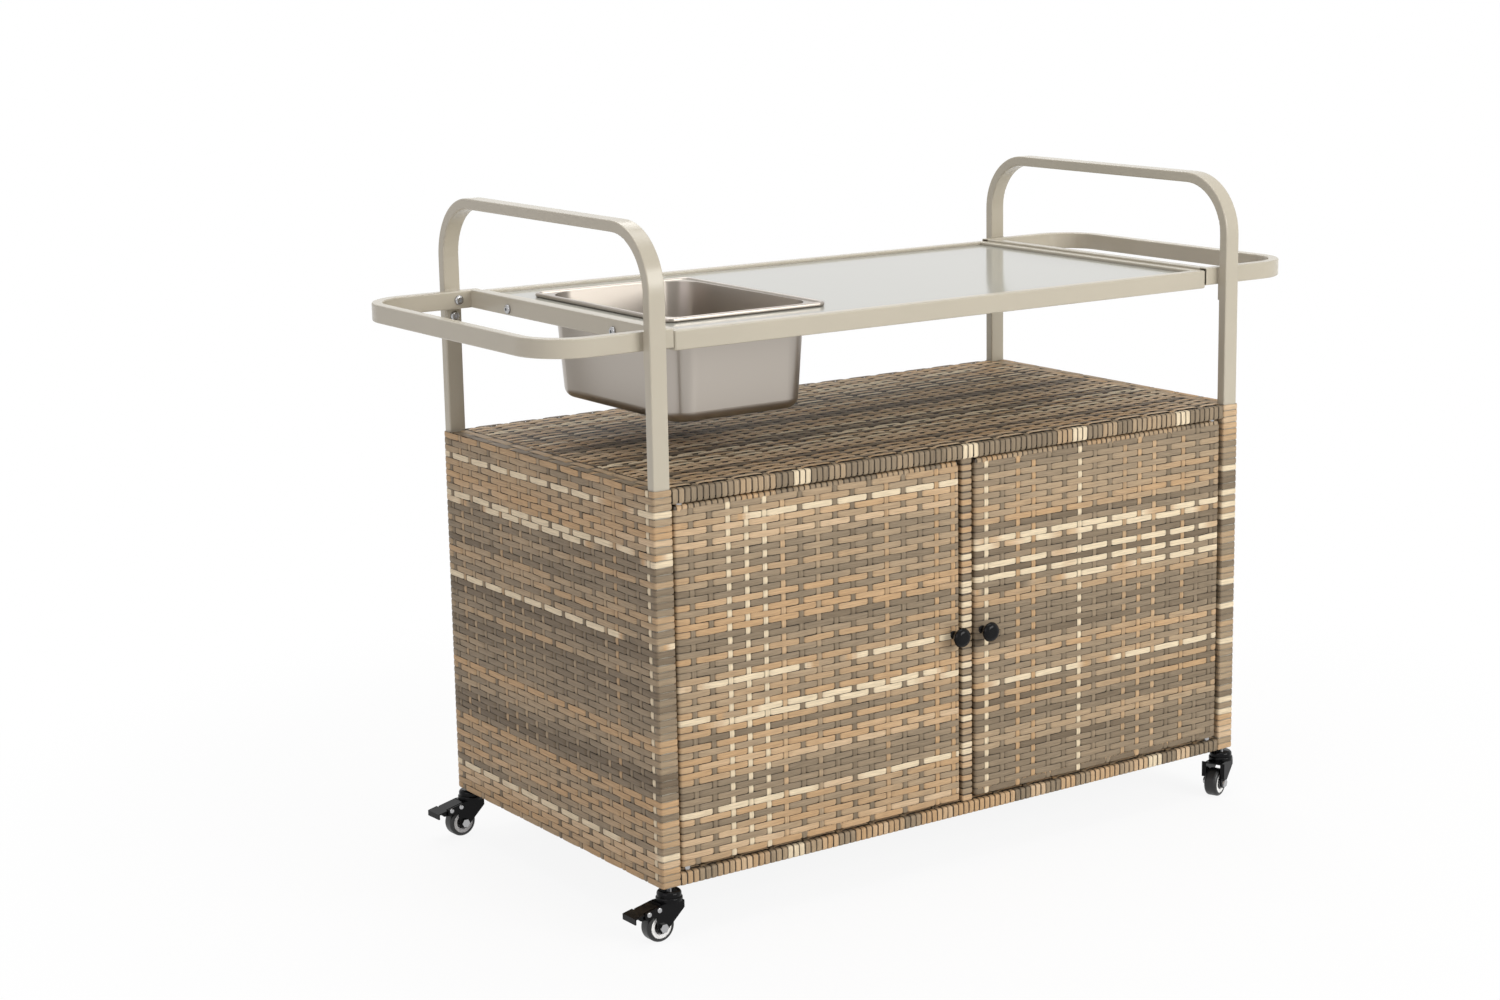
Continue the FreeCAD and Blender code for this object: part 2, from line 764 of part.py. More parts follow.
def strike_plate():
    reach = (door_x[1] - strike_edge - strike_wide, door_x[1] - strike_edge)
    return block(reach, (door_back, door_back + strike_thick),
                 (catch_height - catch_tall / 2, catch_height + catch_tall / 2))


def magnet_catch():
    tall = (catch_height - catch_tall / 2, catch_height + catch_tall / 2)
    body = block(both(catch_wide / 2), (post_back, post_back + catch_deep), tall)
    return round_edges(body, weave, lambda edge: straight_along(edge, Y_AXIS))


def catch_magnets():
    magnets = []
    for side in (-1, 1):
        near = door_inner + strike_edge + magnet_margin
        reach = sorted((side * near, side * (near + strike_wide - 2 * magnet_margin)))
        tall = (catch_height - catch_tall / 2 + magnet_margin, catch_height + catch_tall / 2 - magnet_margin)
        magnets.append(block(reach, (door_back + strike_thick + rest_gap, post_back), tall))
    return group(magnets)


# Casters, modelled with the swivel axis on Z and the wheel trailing towards +X

def caster_places():
    return {
        "front_left": (-leg_x, -leg_y),
        "rear_left": (-leg_x, leg_y),
        "front_right": (leg_x, -leg_y),
        "rear_right": (leg_x, leg_y),
    }


def at_caster(shape, name):
    x, y = caster_places()[name]
    turned = shape.copy()
    turned.rotate(ORIGIN, Z_AXIS, caster_turn[name])
    turned.translate(V(x, y, 0))
    return turned


def touch_point(x, z, left):
    """Where a line from (x, z) touches the axle boss, on its left or right as seen from that point."""
    dx = caster_trail - x
    dz = axle_height - z
    far = math.hypot(dx, dz)
    lean = math.asin(fork_boss / far)
    heading = math.atan2(dz, dx) + (lean if left else -lean)
    run = math.sqrt(far * far - fork_boss * fork_boss)
    return V(x + run * math.cos(heading), 0, z + run * math.sin(heading))


def fork_cheek(corners):
    """The side plate of a fork: an outline from its nose round to its tail, closed round the axle boss."""
    points = [V(x, 0, z) for x, z in corners]
    start = touch_point(points[-1].x, points[-1].z, True)
    end = touch_point(points[0].x, points[0].z, False)
    low = V(caster_trail, 0, axle_height - fork_boss)
    edges = [Part.LineSegment(a, b).toShape() for a, b in zip(points, points[1:])]
    edges.append(Part.LineSegment(points[-1], start).toShape())
    edges.append(Part.Arc(start, low, end).toShape())
    edges.append(Part.LineSegment(end, points[0]).toShape())
    return Part.Face(Part.Wire(edges)).extrude(V(0, fork_plate, 0))


def cross_pin(diameter, x, z, half):
    return rod(diameter, V(x, -half, z), V(x, half, z))


fork_half = fork_inside / 2 + fork_plate


def caster_fork(with_brake):
    """Top plate, two cheeks and the lower race. With a brake, the cheeks slope to a tail over the wheel."""
    corners = [(-fork_nose, fork_top - fork_brow), (-fork_nose, fork_top)]
    if with_brake:
        top_end = fork_crest
        tongue = caster_trail + fork_boss + pedal_thick / 2
        corners += [(fork_crest, fork_top), (hood_out, hood_height)]
        corners += [(hood_out, hood_skirt), (tongue, hood_skirt)]
    else:
        top_end = fork_tail
        corners += [(fork_tail, fork_top), (fork_tail, fork_top - fork_plate)]
    cheek = fork_cheek(corners)
    pieces = [block((-fork_nose, top_end), both(fork_half), (fork_top - fork_plate, fork_top))]
    for y in (-fork_half, fork_inside / 2):
        plate = cheek.copy()
        plate.translate(V(0, y, 0))
        pieces.append(plate)
    if not with_brake:
        for side in (-1, 1):
            wide = sorted((side * fork_inside / 2, side * (fork_half + fork_lip)))
            tall = (axle_height + fork_boss, fork_top)
            pieces.append(block((fork_tail - fork_plate, fork_tail), wide, tall))
    race = rod(race_diameter, V(0, 0, fork_top), V(0, 0, race_top))
    pieces.append(round_edges(race, race_tall * 0.4, lambda edge: edge.BoundBox.ZMin > race_top - 1e-6))
    bore = rod(swivel_pin + 2 * running_fit, V(0, 0, fork_top - fork_plate), V(0, 0, race_top))
    holes = [bore, cross_pin(axle_diameter, caster_trail, axle_height, fork_half)]
    if with_brake:
        holes.append(cross_pin(pedal_pin, pedal_pivot_out, pedal_pivot_height, fork_half))
        holes.append(cross_pin(pedal_pin, shoe_rivet_out, shoe_rivet_height, fork_half))
    return cut_all(fuse_all(pieces), holes)


def rivet_button(x, z, side):
    """A domed rivet head on the outside of a cheek."""
    seat = V(x, side * fork_half, z)
    crown = seat + V(0, side * rivet_head_tall, 0)
    head = rod(rivet_head, seat, crown)

    def outer_edge(edge):
        box = edge.BoundBox
        return box.YLength < 1e-3 and abs(box.Center.y - crown.y) < 1e-3

    return round_edges(head, rivet_head_tall * 0.8, outer_edge)


def caster_axle(with_brake):
    """Axle bolt, nut and two sleeves, and on a braked caster the pedal's pin and two cheek rivets."""
    bolt_shape = cross_pin(axle_diameter, caster_trail, axle_height, fork_half + axle_head_tall)
    head = rod(axle_head, V(caster_trail, -fork_half - axle_head_tall, axle_height),
               V(caster_trail, -fork_half, axle_height))
    pieces = [bolt_shape.fuse(head).removeSplitter()]
    nut = hexagon(axle_head, V(caster_trail, fork_half, axle_height),
                  V(caster_trail, fork_half + axle_head_tall, axle_height))
    pieces.append(nut.cut(bolt_shape))
    for side in (-1, 1):
        inner = V(caster_trail, side * (core_hub / 2 + rest_gap), axle_height)
        outer = V(caster_trail, side * fork_inside / 2, axle_height)
        pieces.append(ring(axle_sleeve, axle_diameter, inner, outer))
    if with_brake:
        pin = cross_pin(pedal_pin, pedal_pivot_out, pedal_pivot_height, fork_half)
        for side in (-1, 1):
            pin = pin.fuse(rivet_button(pedal_pivot_out, pedal_pivot_height, side))
            inside = V(shoe_rivet_out, side * fork_inside / 2, shoe_rivet_height)
            face = V(shoe_rivet_out, side * fork_half, shoe_rivet_height)
            head = rivet_button(shoe_rivet_out, shoe_rivet_height, side)
            pieces.append(rod(pedal_pin, inside, face).fuse(head).removeSplitter())
        pieces.append(pin.removeSplitter())
    return group(pieces)


def spun(points, wide_axis_x, height):
    """A ring turned about the axle from half-section points (radius, along the axle)."""
    profile = Part.Face(Part.makePolygon([V(radius, along, 0) for radius, along in points + points[:1]]))
    shape = profile.revolve(ORIGIN, Y_AXIS, 360)
    shape.translate(V(wide_axis_x, 0, height))
    return shape


def caster_tyre():
    tyre = ring(wheel_diameter, tyre_bore, V(caster_trail, -tyre_wide / 2, axle_height),
                V(caster_trail, tyre_wide / 2, axle_height))
    outer = [edge for edge in tyre.Edges if isinstance(edge.Curve, Part.Circle)
             and abs(edge.Curve.Radius - wheel_diameter / 2) < 1e-6]
    return tyre.makeFillet(tyre_round, outer)


def caster_core():
    rim_in = tyre_bore / 2 - core_rim
    boss = core_boss / 2
    bore = axle_diameter / 2 + running_fit
    rim = core_wide / 2
    web = core_web / 2
    hub = core_hub / 2
    half = [(tyre_bore / 2, rim), (rim_in, rim), (rim_in, web), (boss, web), (boss, hub), (bore, hub)]
    return spun(half + [(radius, -along) for radius, along in reversed(half)], caster_trail, axle_height)


def brake_pedal():
    """A sloping plate on a pivot barrel between the cheeks, with a shoe under it and a turned-down lip."""
    slope = -hood_drop / (hood_out - fork_crest)

    def top_at(x):
        return fork_top + pedal_proud + slope * (x - fork_crest)

    def strip(x, wide):
        low = [V(along, -wide / 2, top_at(along) - pedal_thick) for along in x]
        high = [V(along, -wide / 2, top_at(along)) for along in reversed(x)]
        return Part.Face(Part.makePolygon(low + high + low[:1])).extrude(V(0, wide, 0))

    inner = strip((pedal_start, pedal_end), pedal_wide_inside)
    outer = strip((pedal_flare, pedal_end), pedal_wide_outside)
    lip = block((pedal_end - pedal_thick, pedal_end), both(pedal_wide_outside / 2),
                (top_at(pedal_end) - pedal_lip, top_at(pedal_end)))
    shoe_top = top_at(shoe_end) - pedal_thick / 2
    shoe = block((shoe_start, shoe_end), both(pedal_wide_inside / 2), (fork_top - shoe_drop, shoe_top))

    def heel(edge):
        low_end = edge.BoundBox.XMin > shoe_end - 1e-3 and edge.BoundBox.ZMax < shoe_top - 1e-3
        return low_end and straight_along(edge, Y_AXIS)

    shoe = round_edges(shoe, shoe_round, heel)
    barrel = cross_pin(pedal_barrel, pedal_pivot_out, pedal_pivot_height, pedal_wide_inside / 2)
    pedal = fuse_all([inner, outer, lip, shoe, barrel])
    return pedal.cut(cross_pin(pedal_pin + 2 * running_fit, pedal_pivot_out, pedal_pivot_height, fork_half))


cap_bottom = race_top + rest_gap


def caster_stem():
    """Threaded stem, and the riveted swivel pin under it."""
    plate_under = fork_top - fork_plate - rest_gap
    return fuse_all([
        rod(stem_diameter, V(0, 0, cap_bottom), V(0, 0, leg_bottom + insert_tall)),
        rod(swivel_pin, V(0, 0, plate_under - swivel_rivet_tall), V(0, 0, cap_bottom)),
        rod(swivel_rivet, V(0, 0, plate_under - swivel_rivet_tall), V(0, 0, plate_under)),
    ])


def caster_cap():
    """The upper race, pressed on the stem."""
    cap = rod(race_cap, V(0, 0, cap_bottom), V(0, 0, race_cap_top))
    cap = round_edges(cap, race_cap_tall * 0.6, lambda edge: edge.BoundBox.ZMin > race_cap_top - 1e-6)
    return cap.cut(rod(stem_diameter, V(0, 0, cap_bottom), V(0, 0, race_cap_top)))


def leg_inserts():
    plugs = []
    for x, y in caster_places().values():
        plug = block((x - tube_wide / 2 + tube_wall, x + tube_wide / 2 - tube_wall),
                     (y - tube_deep / 2 + tube_wall, y + tube_deep / 2 - tube_wall),
                     (leg_bottom, leg_bottom + insert_tall))
        plugs.append(plug.cut(rod(stem_diameter, V(x, y, leg_bottom), V(x, y, leg_bottom + insert_tall))))
    return group(plugs)


def assemble():
    pieces = {
        "left_hoop": hoop(-1),
        "right_hoop": hoop(1),
        "end_rails": end_rails(),
        "left_end_weave": end_weave(-1),
        "right_end_weave": end_weave(1),
        "shelf_frame": deck_frame(cabinet_top - deck_tube),
        "shelf_weave": deck_weave(shelf_bottom),
        "base_frame": deck_frame(leg_bottom),
        "base_weave": deck_weave(base_bottom),
        "back_frame": back_frame(),
        "back_weave": back_weave(),
        "centre_post": centre_post(),
        "centre_post_weave": centre_post_weave(),
        "left_handle": handle(-1),
        "right_handle": handle(1),
        "cross_rails": cross_rails(),
        "handle_brackets": handle_brackets(),
        "table_front_rail": table_long_rail(-1),
        "table_back_rail": table_long_rail(1),
        "table_end_rails": table_end_rails(),
        "top_sheet": top_sheet(),
        "frame_bolts": frame_bolts(),
        "rivet_nuts": rivet_nuts(),
        "rail_washers": rail_washers(),
        "panel_screws": group([panel_screw(*spot) for spot in panel_screw_spots()]),
        "door_pivot_pins": door_pivot_pins(),
        "magnet_catch": magnet_catch(),
        "catch_magnets": catch_magnets(),
        "leg_inserts": leg_inserts(),
        "caster_stems": group([at_caster(caster_stem(), name) for name in caster_places()]),
        "caster_caps": group([at_caster(caster_cap(), name) for name in caster_places()]),
        "ice_pan": ice_pan(),
    }
    door_pieces = {
        "door_frame": door_frame(),
        "door_weave": door_weave(),
        "door_bushes": door_bushes(),
        "door_knob": door_knob(),
        "strike_plate": strike_plate(),
    }
    for name, shape in door_pieces.items():
        pieces["left_" + name] = shape
        pieces["right_" + name] = mirrored(shape)
    for place in caster_places():
        with_brake = place in braked
        pieces[place + "_fork"] = at_caster(caster_fork(with_brake), place)
        pieces[place + "_axle"] = at_caster(caster_axle(with_brake), place)
        pieces[place + "_tyre"] = at_caster(caster_tyre(), place)
        pieces[place + "_wheel_core"] = at_caster(caster_core(), place)
        if with_brake:
            pieces[place + "_brake_pedal"] = at_caster(brake_pedal(), place)
    return pieces


os.makedirs("parts", exist_ok=True)
for node, shape in assemble().items():
    shape.exportStep("parts/" + node + ".step")
    state = "" if shape.isValid() else "NOT VALID"
    print(node, len(shape.Solids), "solids", round(shape.Volume), "mm3", state)
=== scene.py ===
"""Outdoor bar cart: woven strands, finishes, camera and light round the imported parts."""

import bpy
import json
import math
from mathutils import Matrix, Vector

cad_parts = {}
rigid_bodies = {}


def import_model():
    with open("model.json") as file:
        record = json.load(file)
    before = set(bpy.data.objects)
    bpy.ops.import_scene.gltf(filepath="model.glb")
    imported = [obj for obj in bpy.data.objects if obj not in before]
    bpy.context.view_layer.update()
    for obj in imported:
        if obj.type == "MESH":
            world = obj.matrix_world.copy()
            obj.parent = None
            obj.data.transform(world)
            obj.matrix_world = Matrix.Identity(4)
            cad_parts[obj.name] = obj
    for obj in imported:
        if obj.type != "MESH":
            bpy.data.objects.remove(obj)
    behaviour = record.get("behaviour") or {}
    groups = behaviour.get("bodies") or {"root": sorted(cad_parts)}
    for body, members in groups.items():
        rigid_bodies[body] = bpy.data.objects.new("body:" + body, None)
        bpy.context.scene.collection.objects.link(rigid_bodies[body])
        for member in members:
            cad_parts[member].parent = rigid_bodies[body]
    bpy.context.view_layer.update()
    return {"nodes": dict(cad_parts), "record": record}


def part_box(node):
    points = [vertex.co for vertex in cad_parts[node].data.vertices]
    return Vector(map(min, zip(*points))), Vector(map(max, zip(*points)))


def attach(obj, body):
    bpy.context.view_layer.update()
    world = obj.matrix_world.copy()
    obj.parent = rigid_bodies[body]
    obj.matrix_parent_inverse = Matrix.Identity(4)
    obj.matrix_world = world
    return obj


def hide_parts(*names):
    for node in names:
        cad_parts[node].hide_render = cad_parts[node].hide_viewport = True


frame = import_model()
nodes = frame["nodes"]
MM = 0.001


# Materials

GRAIN_SCALE = 900.0                     # grains per metre in a finish
GRAIN_DEPTH = 0.001                     # depth of the grain
DRIFT_SCALE = 9.0                       # patches per metre in the slow drift of a finish's colour
DRIFT = 0.05                            # share by which that drift changes the colour
FINE = 2.0                              # how much finer grain lies in the grain and in the drift
PAN_LINES = (30.0, 900.0, 900.0)        # brushed lines per metre along the cart, across it and up
LINE_FINE = 3.0                         # how much finer lines lie in these
LINE_GLOSS = (0.94, 1.07)               # range of a brushed metal's roughness, as shares of its mean
RIM_INSIDE = 0.0104                     # radius at which a wheel's white rim begins
WHEEL_MIDDLE = (0.012, 0.012, 0.012)
WHEEL_RIM = (0.940, 0.940, 0.930)
GAP_SHADE_WIDTH = 0.0017                          # width of the painted shadow in the gap round the top sheet
GAP_SHADE = (0.030, 0.028, 0.018)


def shader(name):
    material = bpy.data.materials.new(name)
    material.use_nodes = True
    tree = material.node_tree
    return material, tree, tree.nodes["Principled BSDF"]


def add(tree, kind, **settings):
    node = tree.nodes.new(kind)
    for key, value in settings.items():
        setattr(node, key, value)
    return node


def shader_math(tree, operation, first, second):
    node = add(tree, "ShaderNodeMath", operation=operation)
    for socket, value in zip(node.inputs, (first, second)):
        if isinstance(value, (int, float)):
            socket.default_value = value
        else:
            tree.links.new(value, socket)
    return node.outputs[0]


def place_on_piece(tree):
    return add(tree, "ShaderNodeTexCoord").outputs["Object"]


def noise(tree, place, scale, detail):
    node = add(tree, "ShaderNodeTexNoise")
    node.inputs["Scale"].default_value = scale
    node.inputs["Detail"].default_value = detail
    tree.links.new(place, node.inputs["Vector"])
    return node.outputs["Fac"]


def mapped(tree, value, low, high, start=0.0, end=1.0, **settings):
    """A value that runs from low to high while the one given runs from start to end."""
    node = add(tree, "ShaderNodeMapRange", **settings)
    node.inputs["From Min"].default_value = start
    node.inputs["From Max"].default_value = end
    node.inputs["To Min"].default_value = low
    node.inputs["To Max"].default_value = high
    tree.links.new(value, node.inputs["Value"])
    return node.outputs["Result"]


def bumped(tree, base, height, strength, depth):
    bump = add(tree, "ShaderNodeBump")
    bump.inputs["Strength"].default_value = strength
    bump.inputs["Distance"].default_value = depth
    tree.links.new(height, bump.inputs["Height"])
    tree.links.new(bump.outputs["Normal"], base.inputs["Normal"])


def two_colors(tree, base, share, first, second):
    mix = add(tree, "ShaderNodeMix", data_type="RGBA")
    mix.inputs["A"].default_value = (*first, 1)
    mix.inputs["B"].default_value = (*second, 1)
    tree.links.new(share, mix.inputs["Factor"])
    tree.links.new(mix.outputs["Result"], base.inputs["Base Color"])


def coated(name, color, roughness, metallic=0.0, gloss=0.5, grain=0.02):
    """A painted, moulded or plated finish: fine grain in the surface and a slight drift of the colour."""
    material, tree, base = shader(name)
    place = place_on_piece(tree)
    bumped(tree, base, noise(tree, place, GRAIN_SCALE, FINE), grain, GRAIN_DEPTH)
    darker = [c * (1 - DRIFT) for c in color]
    lighter = [min(c * (1 + DRIFT), 1) for c in color]
    two_colors(tree, base, noise(tree, place, DRIFT_SCALE, FINE), darker, lighter)
    base.inputs["Roughness"].default_value = roughness
    base.inputs["Metallic"].default_value = metallic
    base.inputs["Specular IOR Level"].default_value = gloss
    return material


def brushed(name, color, roughness, lines_per_metre):
    """Satin metal with fine lines along the direction that has the fewest."""
    material, tree, base = shader(name)
    scale = add(tree, "ShaderNodeMapping")
    scale.inputs["Scale"].default_value = lines_per_metre
    tree.links.new(place_on_piece(tree), scale.inputs["Vector"])
    lines = noise(tree, scale.outputs["Vector"], 1.0, LINE_FINE)
    smooth, rough = [roughness * share for share in LINE_GLOSS]
    tree.links.new(mapped(tree, lines, smooth, rough), base.inputs["Roughness"])
    round_axis = add(tree, "ShaderNodeTangent", direction_type="RADIAL", axis="Z")
    tree.links.new(round_axis.outputs["Tangent"], base.inputs["Tangent"])
    base.inputs["Base Color"].default_value = (*color, 1)
    base.inputs["Metallic"].default_value = 1.0
    base.inputs["Anisotropic"].default_value = 0.5
    base.inputs["Anisotropic Rotation"].default_value = 0.25
    return material


GREY_DARK = (0.182, 0.139, 0.093, 1)
GREY = (0.285, 0.223, 0.151, 1)
KHAKI = (0.430, 0.322, 0.207, 1)
TAN = (0.535, 0.350, 0.190, 1)
LIGHT_TAN = (0.650, 0.488, 0.320, 1)
CREAM = (0.780, 0.652, 0.458, 1)
STRAND_COLORS = (       # tones from dark to pale and their colours
    (0.20, GREY_DARK), (0.40, GREY), (0.50, KHAKI), (0.63, TAN), (0.78, LIGHT_TAN), (0.90, CREAM),
)
STREAKS = (0.80, 1.12)          # brightness of the dark and the light streaks along a strand
STREAK_LEVELS = (0.3, 0.7)      # the values of the noise at which they have these
STREAK_FINE = 4.0               # how much finer streaks lie in them
DIP_SHADE = (0.10, 1.0)         # brightness of the painted shade on a strand deep in a dip and on top
DIP_LEVELS = (-1.4, 0.3)        # the shading levels at which it has these
STRAND_GRAIN = 0.15             # strength of the streaks in a strand's surface
STRAND_GRAIN_DEPTH = 0.0006     # depth of these streaks


def wicker_material(name):
    """Resin strands: a colour for each strand, streaks along it, and painted shade where it dips under
    another and along its sides.
    """
    material, tree, base = shader(name)
    tone = add(tree, "ShaderNodeAttribute", attribute_name="tone")
    # the depth attribute carries the level of painted shade: low deep in a dip and at a strand's sides
    depth = add(tree, "ShaderNodeAttribute", attribute_name="depth")
    fibre = add(tree, "ShaderNodeAttribute", attribute_name="fibre")
    ramp = add(tree, "ShaderNodeValToRGB")
    stops = ramp.color_ramp.elements
    stops[0].position, stops[0].color = STRAND_COLORS[0]
    stops[1].position, stops[1].color = STRAND_COLORS[-1]
    for position, color in STRAND_COLORS[1:-1]:
        stops.new(position).color = color
    tree.links.new(tone.outputs["Fac"], ramp.inputs["Fac"])
    lines = noise(tree, fibre.outputs["Vector"], 1.0, STREAK_FINE)
    streak = mapped(tree, lines, *STREAKS, *STREAK_LEVELS)
    painted_shade = mapped(tree, depth.outputs["Fac"], *DIP_SHADE, *DIP_LEVELS)
    tint = add(tree, "ShaderNodeVectorMath", operation="SCALE")
    tree.links.new(ramp.outputs["Color"], tint.inputs[0])
    tree.links.new(shader_math(tree, "MULTIPLY", streak, painted_shade), tint.inputs["Scale"])
    tree.links.new(tint.outputs["Vector"], base.inputs["Base Color"])
    bumped(tree, base, lines, STRAND_GRAIN, STRAND_GRAIN_DEPTH)
    base.inputs["Roughness"].default_value = 0.50
    base.inputs["Specular IOR Level"].default_value = 0.15
    return material


def wheel_finish(name, centre, axis):
    """A wheel core: a white rim round a dark middle, by the distance from the axle."""
    material, tree, base = shader(name)
    away = add(tree, "ShaderNodeVectorMath", operation="SUBTRACT")
    away.inputs[1].default_value = centre
    tree.links.new(place_on_piece(tree), away.inputs[0])
    across = add(tree, "ShaderNodeVectorMath", operation="CROSS_PRODUCT")
    across.inputs[1].default_value = axis
    tree.links.new(away.outputs["Vector"], across.inputs[0])
    radius = add(tree, "ShaderNodeVectorMath", operation="LENGTH")
    tree.links.new(across.outputs["Vector"], radius.inputs[0])
    on_rim = shader_math(tree, "GREATER_THAN", radius.outputs["Value"], RIM_INSIDE)
    two_colors(tree, base, on_rim, WHEEL_MIDDLE, WHEEL_RIM)
    base.inputs["Roughness"].default_value = 0.30
    return material


def sheet_finish(name, color, low, high):
    """Glossy paint on the top sheet, with painted shadow in the narrow gap along its edges."""
    material, tree, base = shader(name)
    split = add(tree, "ShaderNodeSeparateXYZ")
    tree.links.new(place_on_piece(tree), split.inputs[0])
    insets = []
    for axis in (0, 1):
        away = shader_math(tree, "SUBTRACT", split.outputs[axis], (low[axis] + high[axis]) / 2)
        away = shader_math(tree, "ABSOLUTE", away, 0.0)
        insets.append(shader_math(tree, "SUBTRACT", (high[axis] - low[axis]) / 2, away))
    # painted shadow of the gap between the sheet and the rails round it
    on_sheet = shader_math(tree, "GREATER_THAN", shader_math(tree, "MINIMUM", *insets), GAP_SHADE_WIDTH)
    two_colors(tree, base, on_sheet, GAP_SHADE, color)
    base.inputs["Roughness"].default_value = 0.12
    return material


wicker = wicker_material("wicker")
# near-black sheet behind the weave: painted shade in the gaps between strands
shade_backing = coated("weave_shade_backing", (0.012, 0.008, 0.006), 0.60)
FINISHES = {
    "wicker": wicker,
    "powder_coat": coated("powder_coat", (0.495, 0.450, 0.358), 0.24),
    "top_paint": sheet_finish("top_paint", (0.400, 0.398, 0.352), *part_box("top_sheet")),
    "frame_steel": coated("frame_steel", (0.120, 0.095, 0.070), 0.45),
    "zinc": coated("zinc", (0.420, 0.420, 0.425), 0.18, metallic=1.0),
    "magnet": coated("magnet", (0.300, 0.300, 0.310), 0.35, metallic=1.0),
    # warm tint of the stainless colour: painted reflection of the wicker round the pan
    "stainless": brushed("stainless", (0.405, 0.368, 0.328), 0.30, PAN_LINES),
    "black_plastic": coated("black_plastic", (0.004, 0.004, 0.0045), 0.12, gloss=0.15, grain=0.004),
    "black_enamel": coated("black_enamel", (0.004, 0.004, 0.0045), 0.14, gloss=0.13, grain=0.004),
    "tyre": coated("tyre", (0.007, 0.007, 0.007), 0.38, grain=0.03),
    "white_plastic": coated("white_plastic", (0.800, 0.800, 0.780), 0.30),
}
slot_of = {row["node"]: row["material_slot"] for row in frame["record"]["subparts"]}
for name, piece in nodes.items():
    piece.data.materials.clear()
    piece.data.materials.append(FINISHES[slot_of[name]])
for joint in frame["record"]["behaviour"]["joints"]:
    if joint["name"].endswith("_roll"):
        core = joint["name"].replace("_roll", "_wheel_core")
        nodes[core].data.materials[0] = wheel_finish(core + "_finish", joint["pos_m"], joint["axis"])


# Geometry nodes

class Tree:
    """A geometry node tree under construction."""

    def __init__(self, name, inputs):
        self.tree = bpy.data.node_groups.new(name, "GeometryNodeTree")
        face = self.tree.interface
        face.new_socket("Geometry", in_out="OUTPUT", socket_type="NodeSocketGeometry")
        self.ids = {}
        for title, kind in inputs:
            socket = face.new_socket(title, in_out="INPUT", socket_type="NodeSocket" + kind)
            self.ids[title] = socket.identifier
        self.inputs = self.tree.nodes.new("NodeGroupInput")
        self.out = self.tree.nodes.new("NodeGroupOutput")

    def given(self, title):
        return self.inputs.outputs[title]

    def put(self, socket, value):
        if isinstance(value, bpy.types.NodeSocket):
            self.tree.links.new(value, socket)
        else:
            socket.default_value = value

    def node(self, kind, values=(), **settings):
        node = self.tree.nodes.new(kind)
        for key, value in settings.items():
            setattr(node, key, value)
        for key, value in dict(values).items():
            self.put(node.inputs[key], value)
        return node

    def math(self, operation, *values):
        return self.node("ShaderNodeMath", enumerate(values), operation=operation).outputs[0]

    def vector(self, operation, *values):
        return self.node("ShaderNodeVectorMath", enumerate(values), operation=operation).outputs["Vector"]

    def scaled(self, vector, amount):
        node = self.node("ShaderNodeVectorMath", {0: vector, "Scale": amount}, operation="SCALE")
        return node.outputs["Vector"]

    def total(self, *values):
        whole = values[0]
        for value in values[1:]:
            whole = self.math("ADD", whole, value)
        return whole

    def clamped(self, value):
        return self.node("ShaderNodeClamp", {0: value}).outputs[0]

    def noise(self, position):
        """A smooth random value about 0.5 along a line."""
        values = {"W": position, "Scale": 1.0, "Detail": 1.0}
        return self.node("ShaderNodeTexNoise", values, noise_dimensions="1D").outputs[0]

    def pick(self, position):
        """A random value for each whole number."""
        return self.node("ShaderNodeTexWhiteNoise", {"W": position}, noise_dimensions="1D").outputs["Value"]

    def about(self, value, amount):
        """A random value about 0.5 made an offset about 0."""
        return self.math("MULTIPLY", self.math("SUBTRACT", value, 0.5), amount)

    def grid(self, along, across):
        """A unit grid, and the places of its points from 0 to 1 along and across it."""
        values = {"Size X": 1.0, "Size Y": 1.0, "Vertices X": along, "Vertices Y": across}
        mesh = self.node("GeometryNodeMeshGrid", values).outputs["Mesh"]
        place = self.node("ShaderNodeSeparateXYZ", {0: self.node("GeometryNodeInputPosition").outputs[0]})
        return mesh, self.math("ADD", place.outputs["X"], 0.5), self.math("ADD", place.outputs["Y"], 0.5)

    def store(self, geometry, name, kind, value):
        values = {"Geometry": geometry, "Name": name, "Value": value}
        return self.node("GeometryNodeStoreNamedAttribute", values, data_type=kind, domain="POINT").outputs[0]

    def joined(self, *parts):
        join = self.node("GeometryNodeJoinGeometry")
        for part in parts:
            self.tree.links.new(part, join.inputs[0])
        return join.outputs[0]

    def finished(self, geometry, material):
        values = {"Geometry": geometry, "Material": self.given(material)}
        return self.node("GeometryNodeSetMaterial", values).outputs[0]


PROFILE = 5                     # points across a strand
ROW_DRAWS = 131.0               # step between two pieces' random draws for rows
COLUMN_DRAWS = 71.0             # the same for uprights
PALE_DRAW = 57.0                # offset of the draw that makes rows pale
EDGE_RATE = 120.0               # how fast the weave starts and ends, per metre
CROWDING = 0.6                  # how far a row's points crowd towards the crossings
DRIFT_WAVE = (3.0, 0.7)         # a row's drift of tone: waves per metre, and step from row to row
PALE_WAVE = (5.0, 2.3)          # the same for where a pale row shows pale
WANDER_WAVE = (16.0, 7.3)       # the same for how a row wanders up and down
FIBRE = (45.0, 3.5, 3.7)        # streaks along a strand, across it, and step from strand to strand
ROW_JITTER = 0.05               # random tone of each row
LIGHTEST = 0.76                 # lightest tone of a row that isn't pale
PALE_REACH = 0.93               # share of the piece in which rows may be pale
PALE_RATE = 9.0                 # how fast a pale stretch fades in
DIP_REACH = 0.68                # share of an upright's width within which a row dips
DIP_POWER = 4.0                 # how steeply it dips
DIP_NARROWING = 0.05            # share of its width that a row loses in a dip
COLUMN_LIFT = -0.6              # share of the rows' lift that uprights get, against them
COLUMN_TONE = 0.28              # darkest tone of an upright
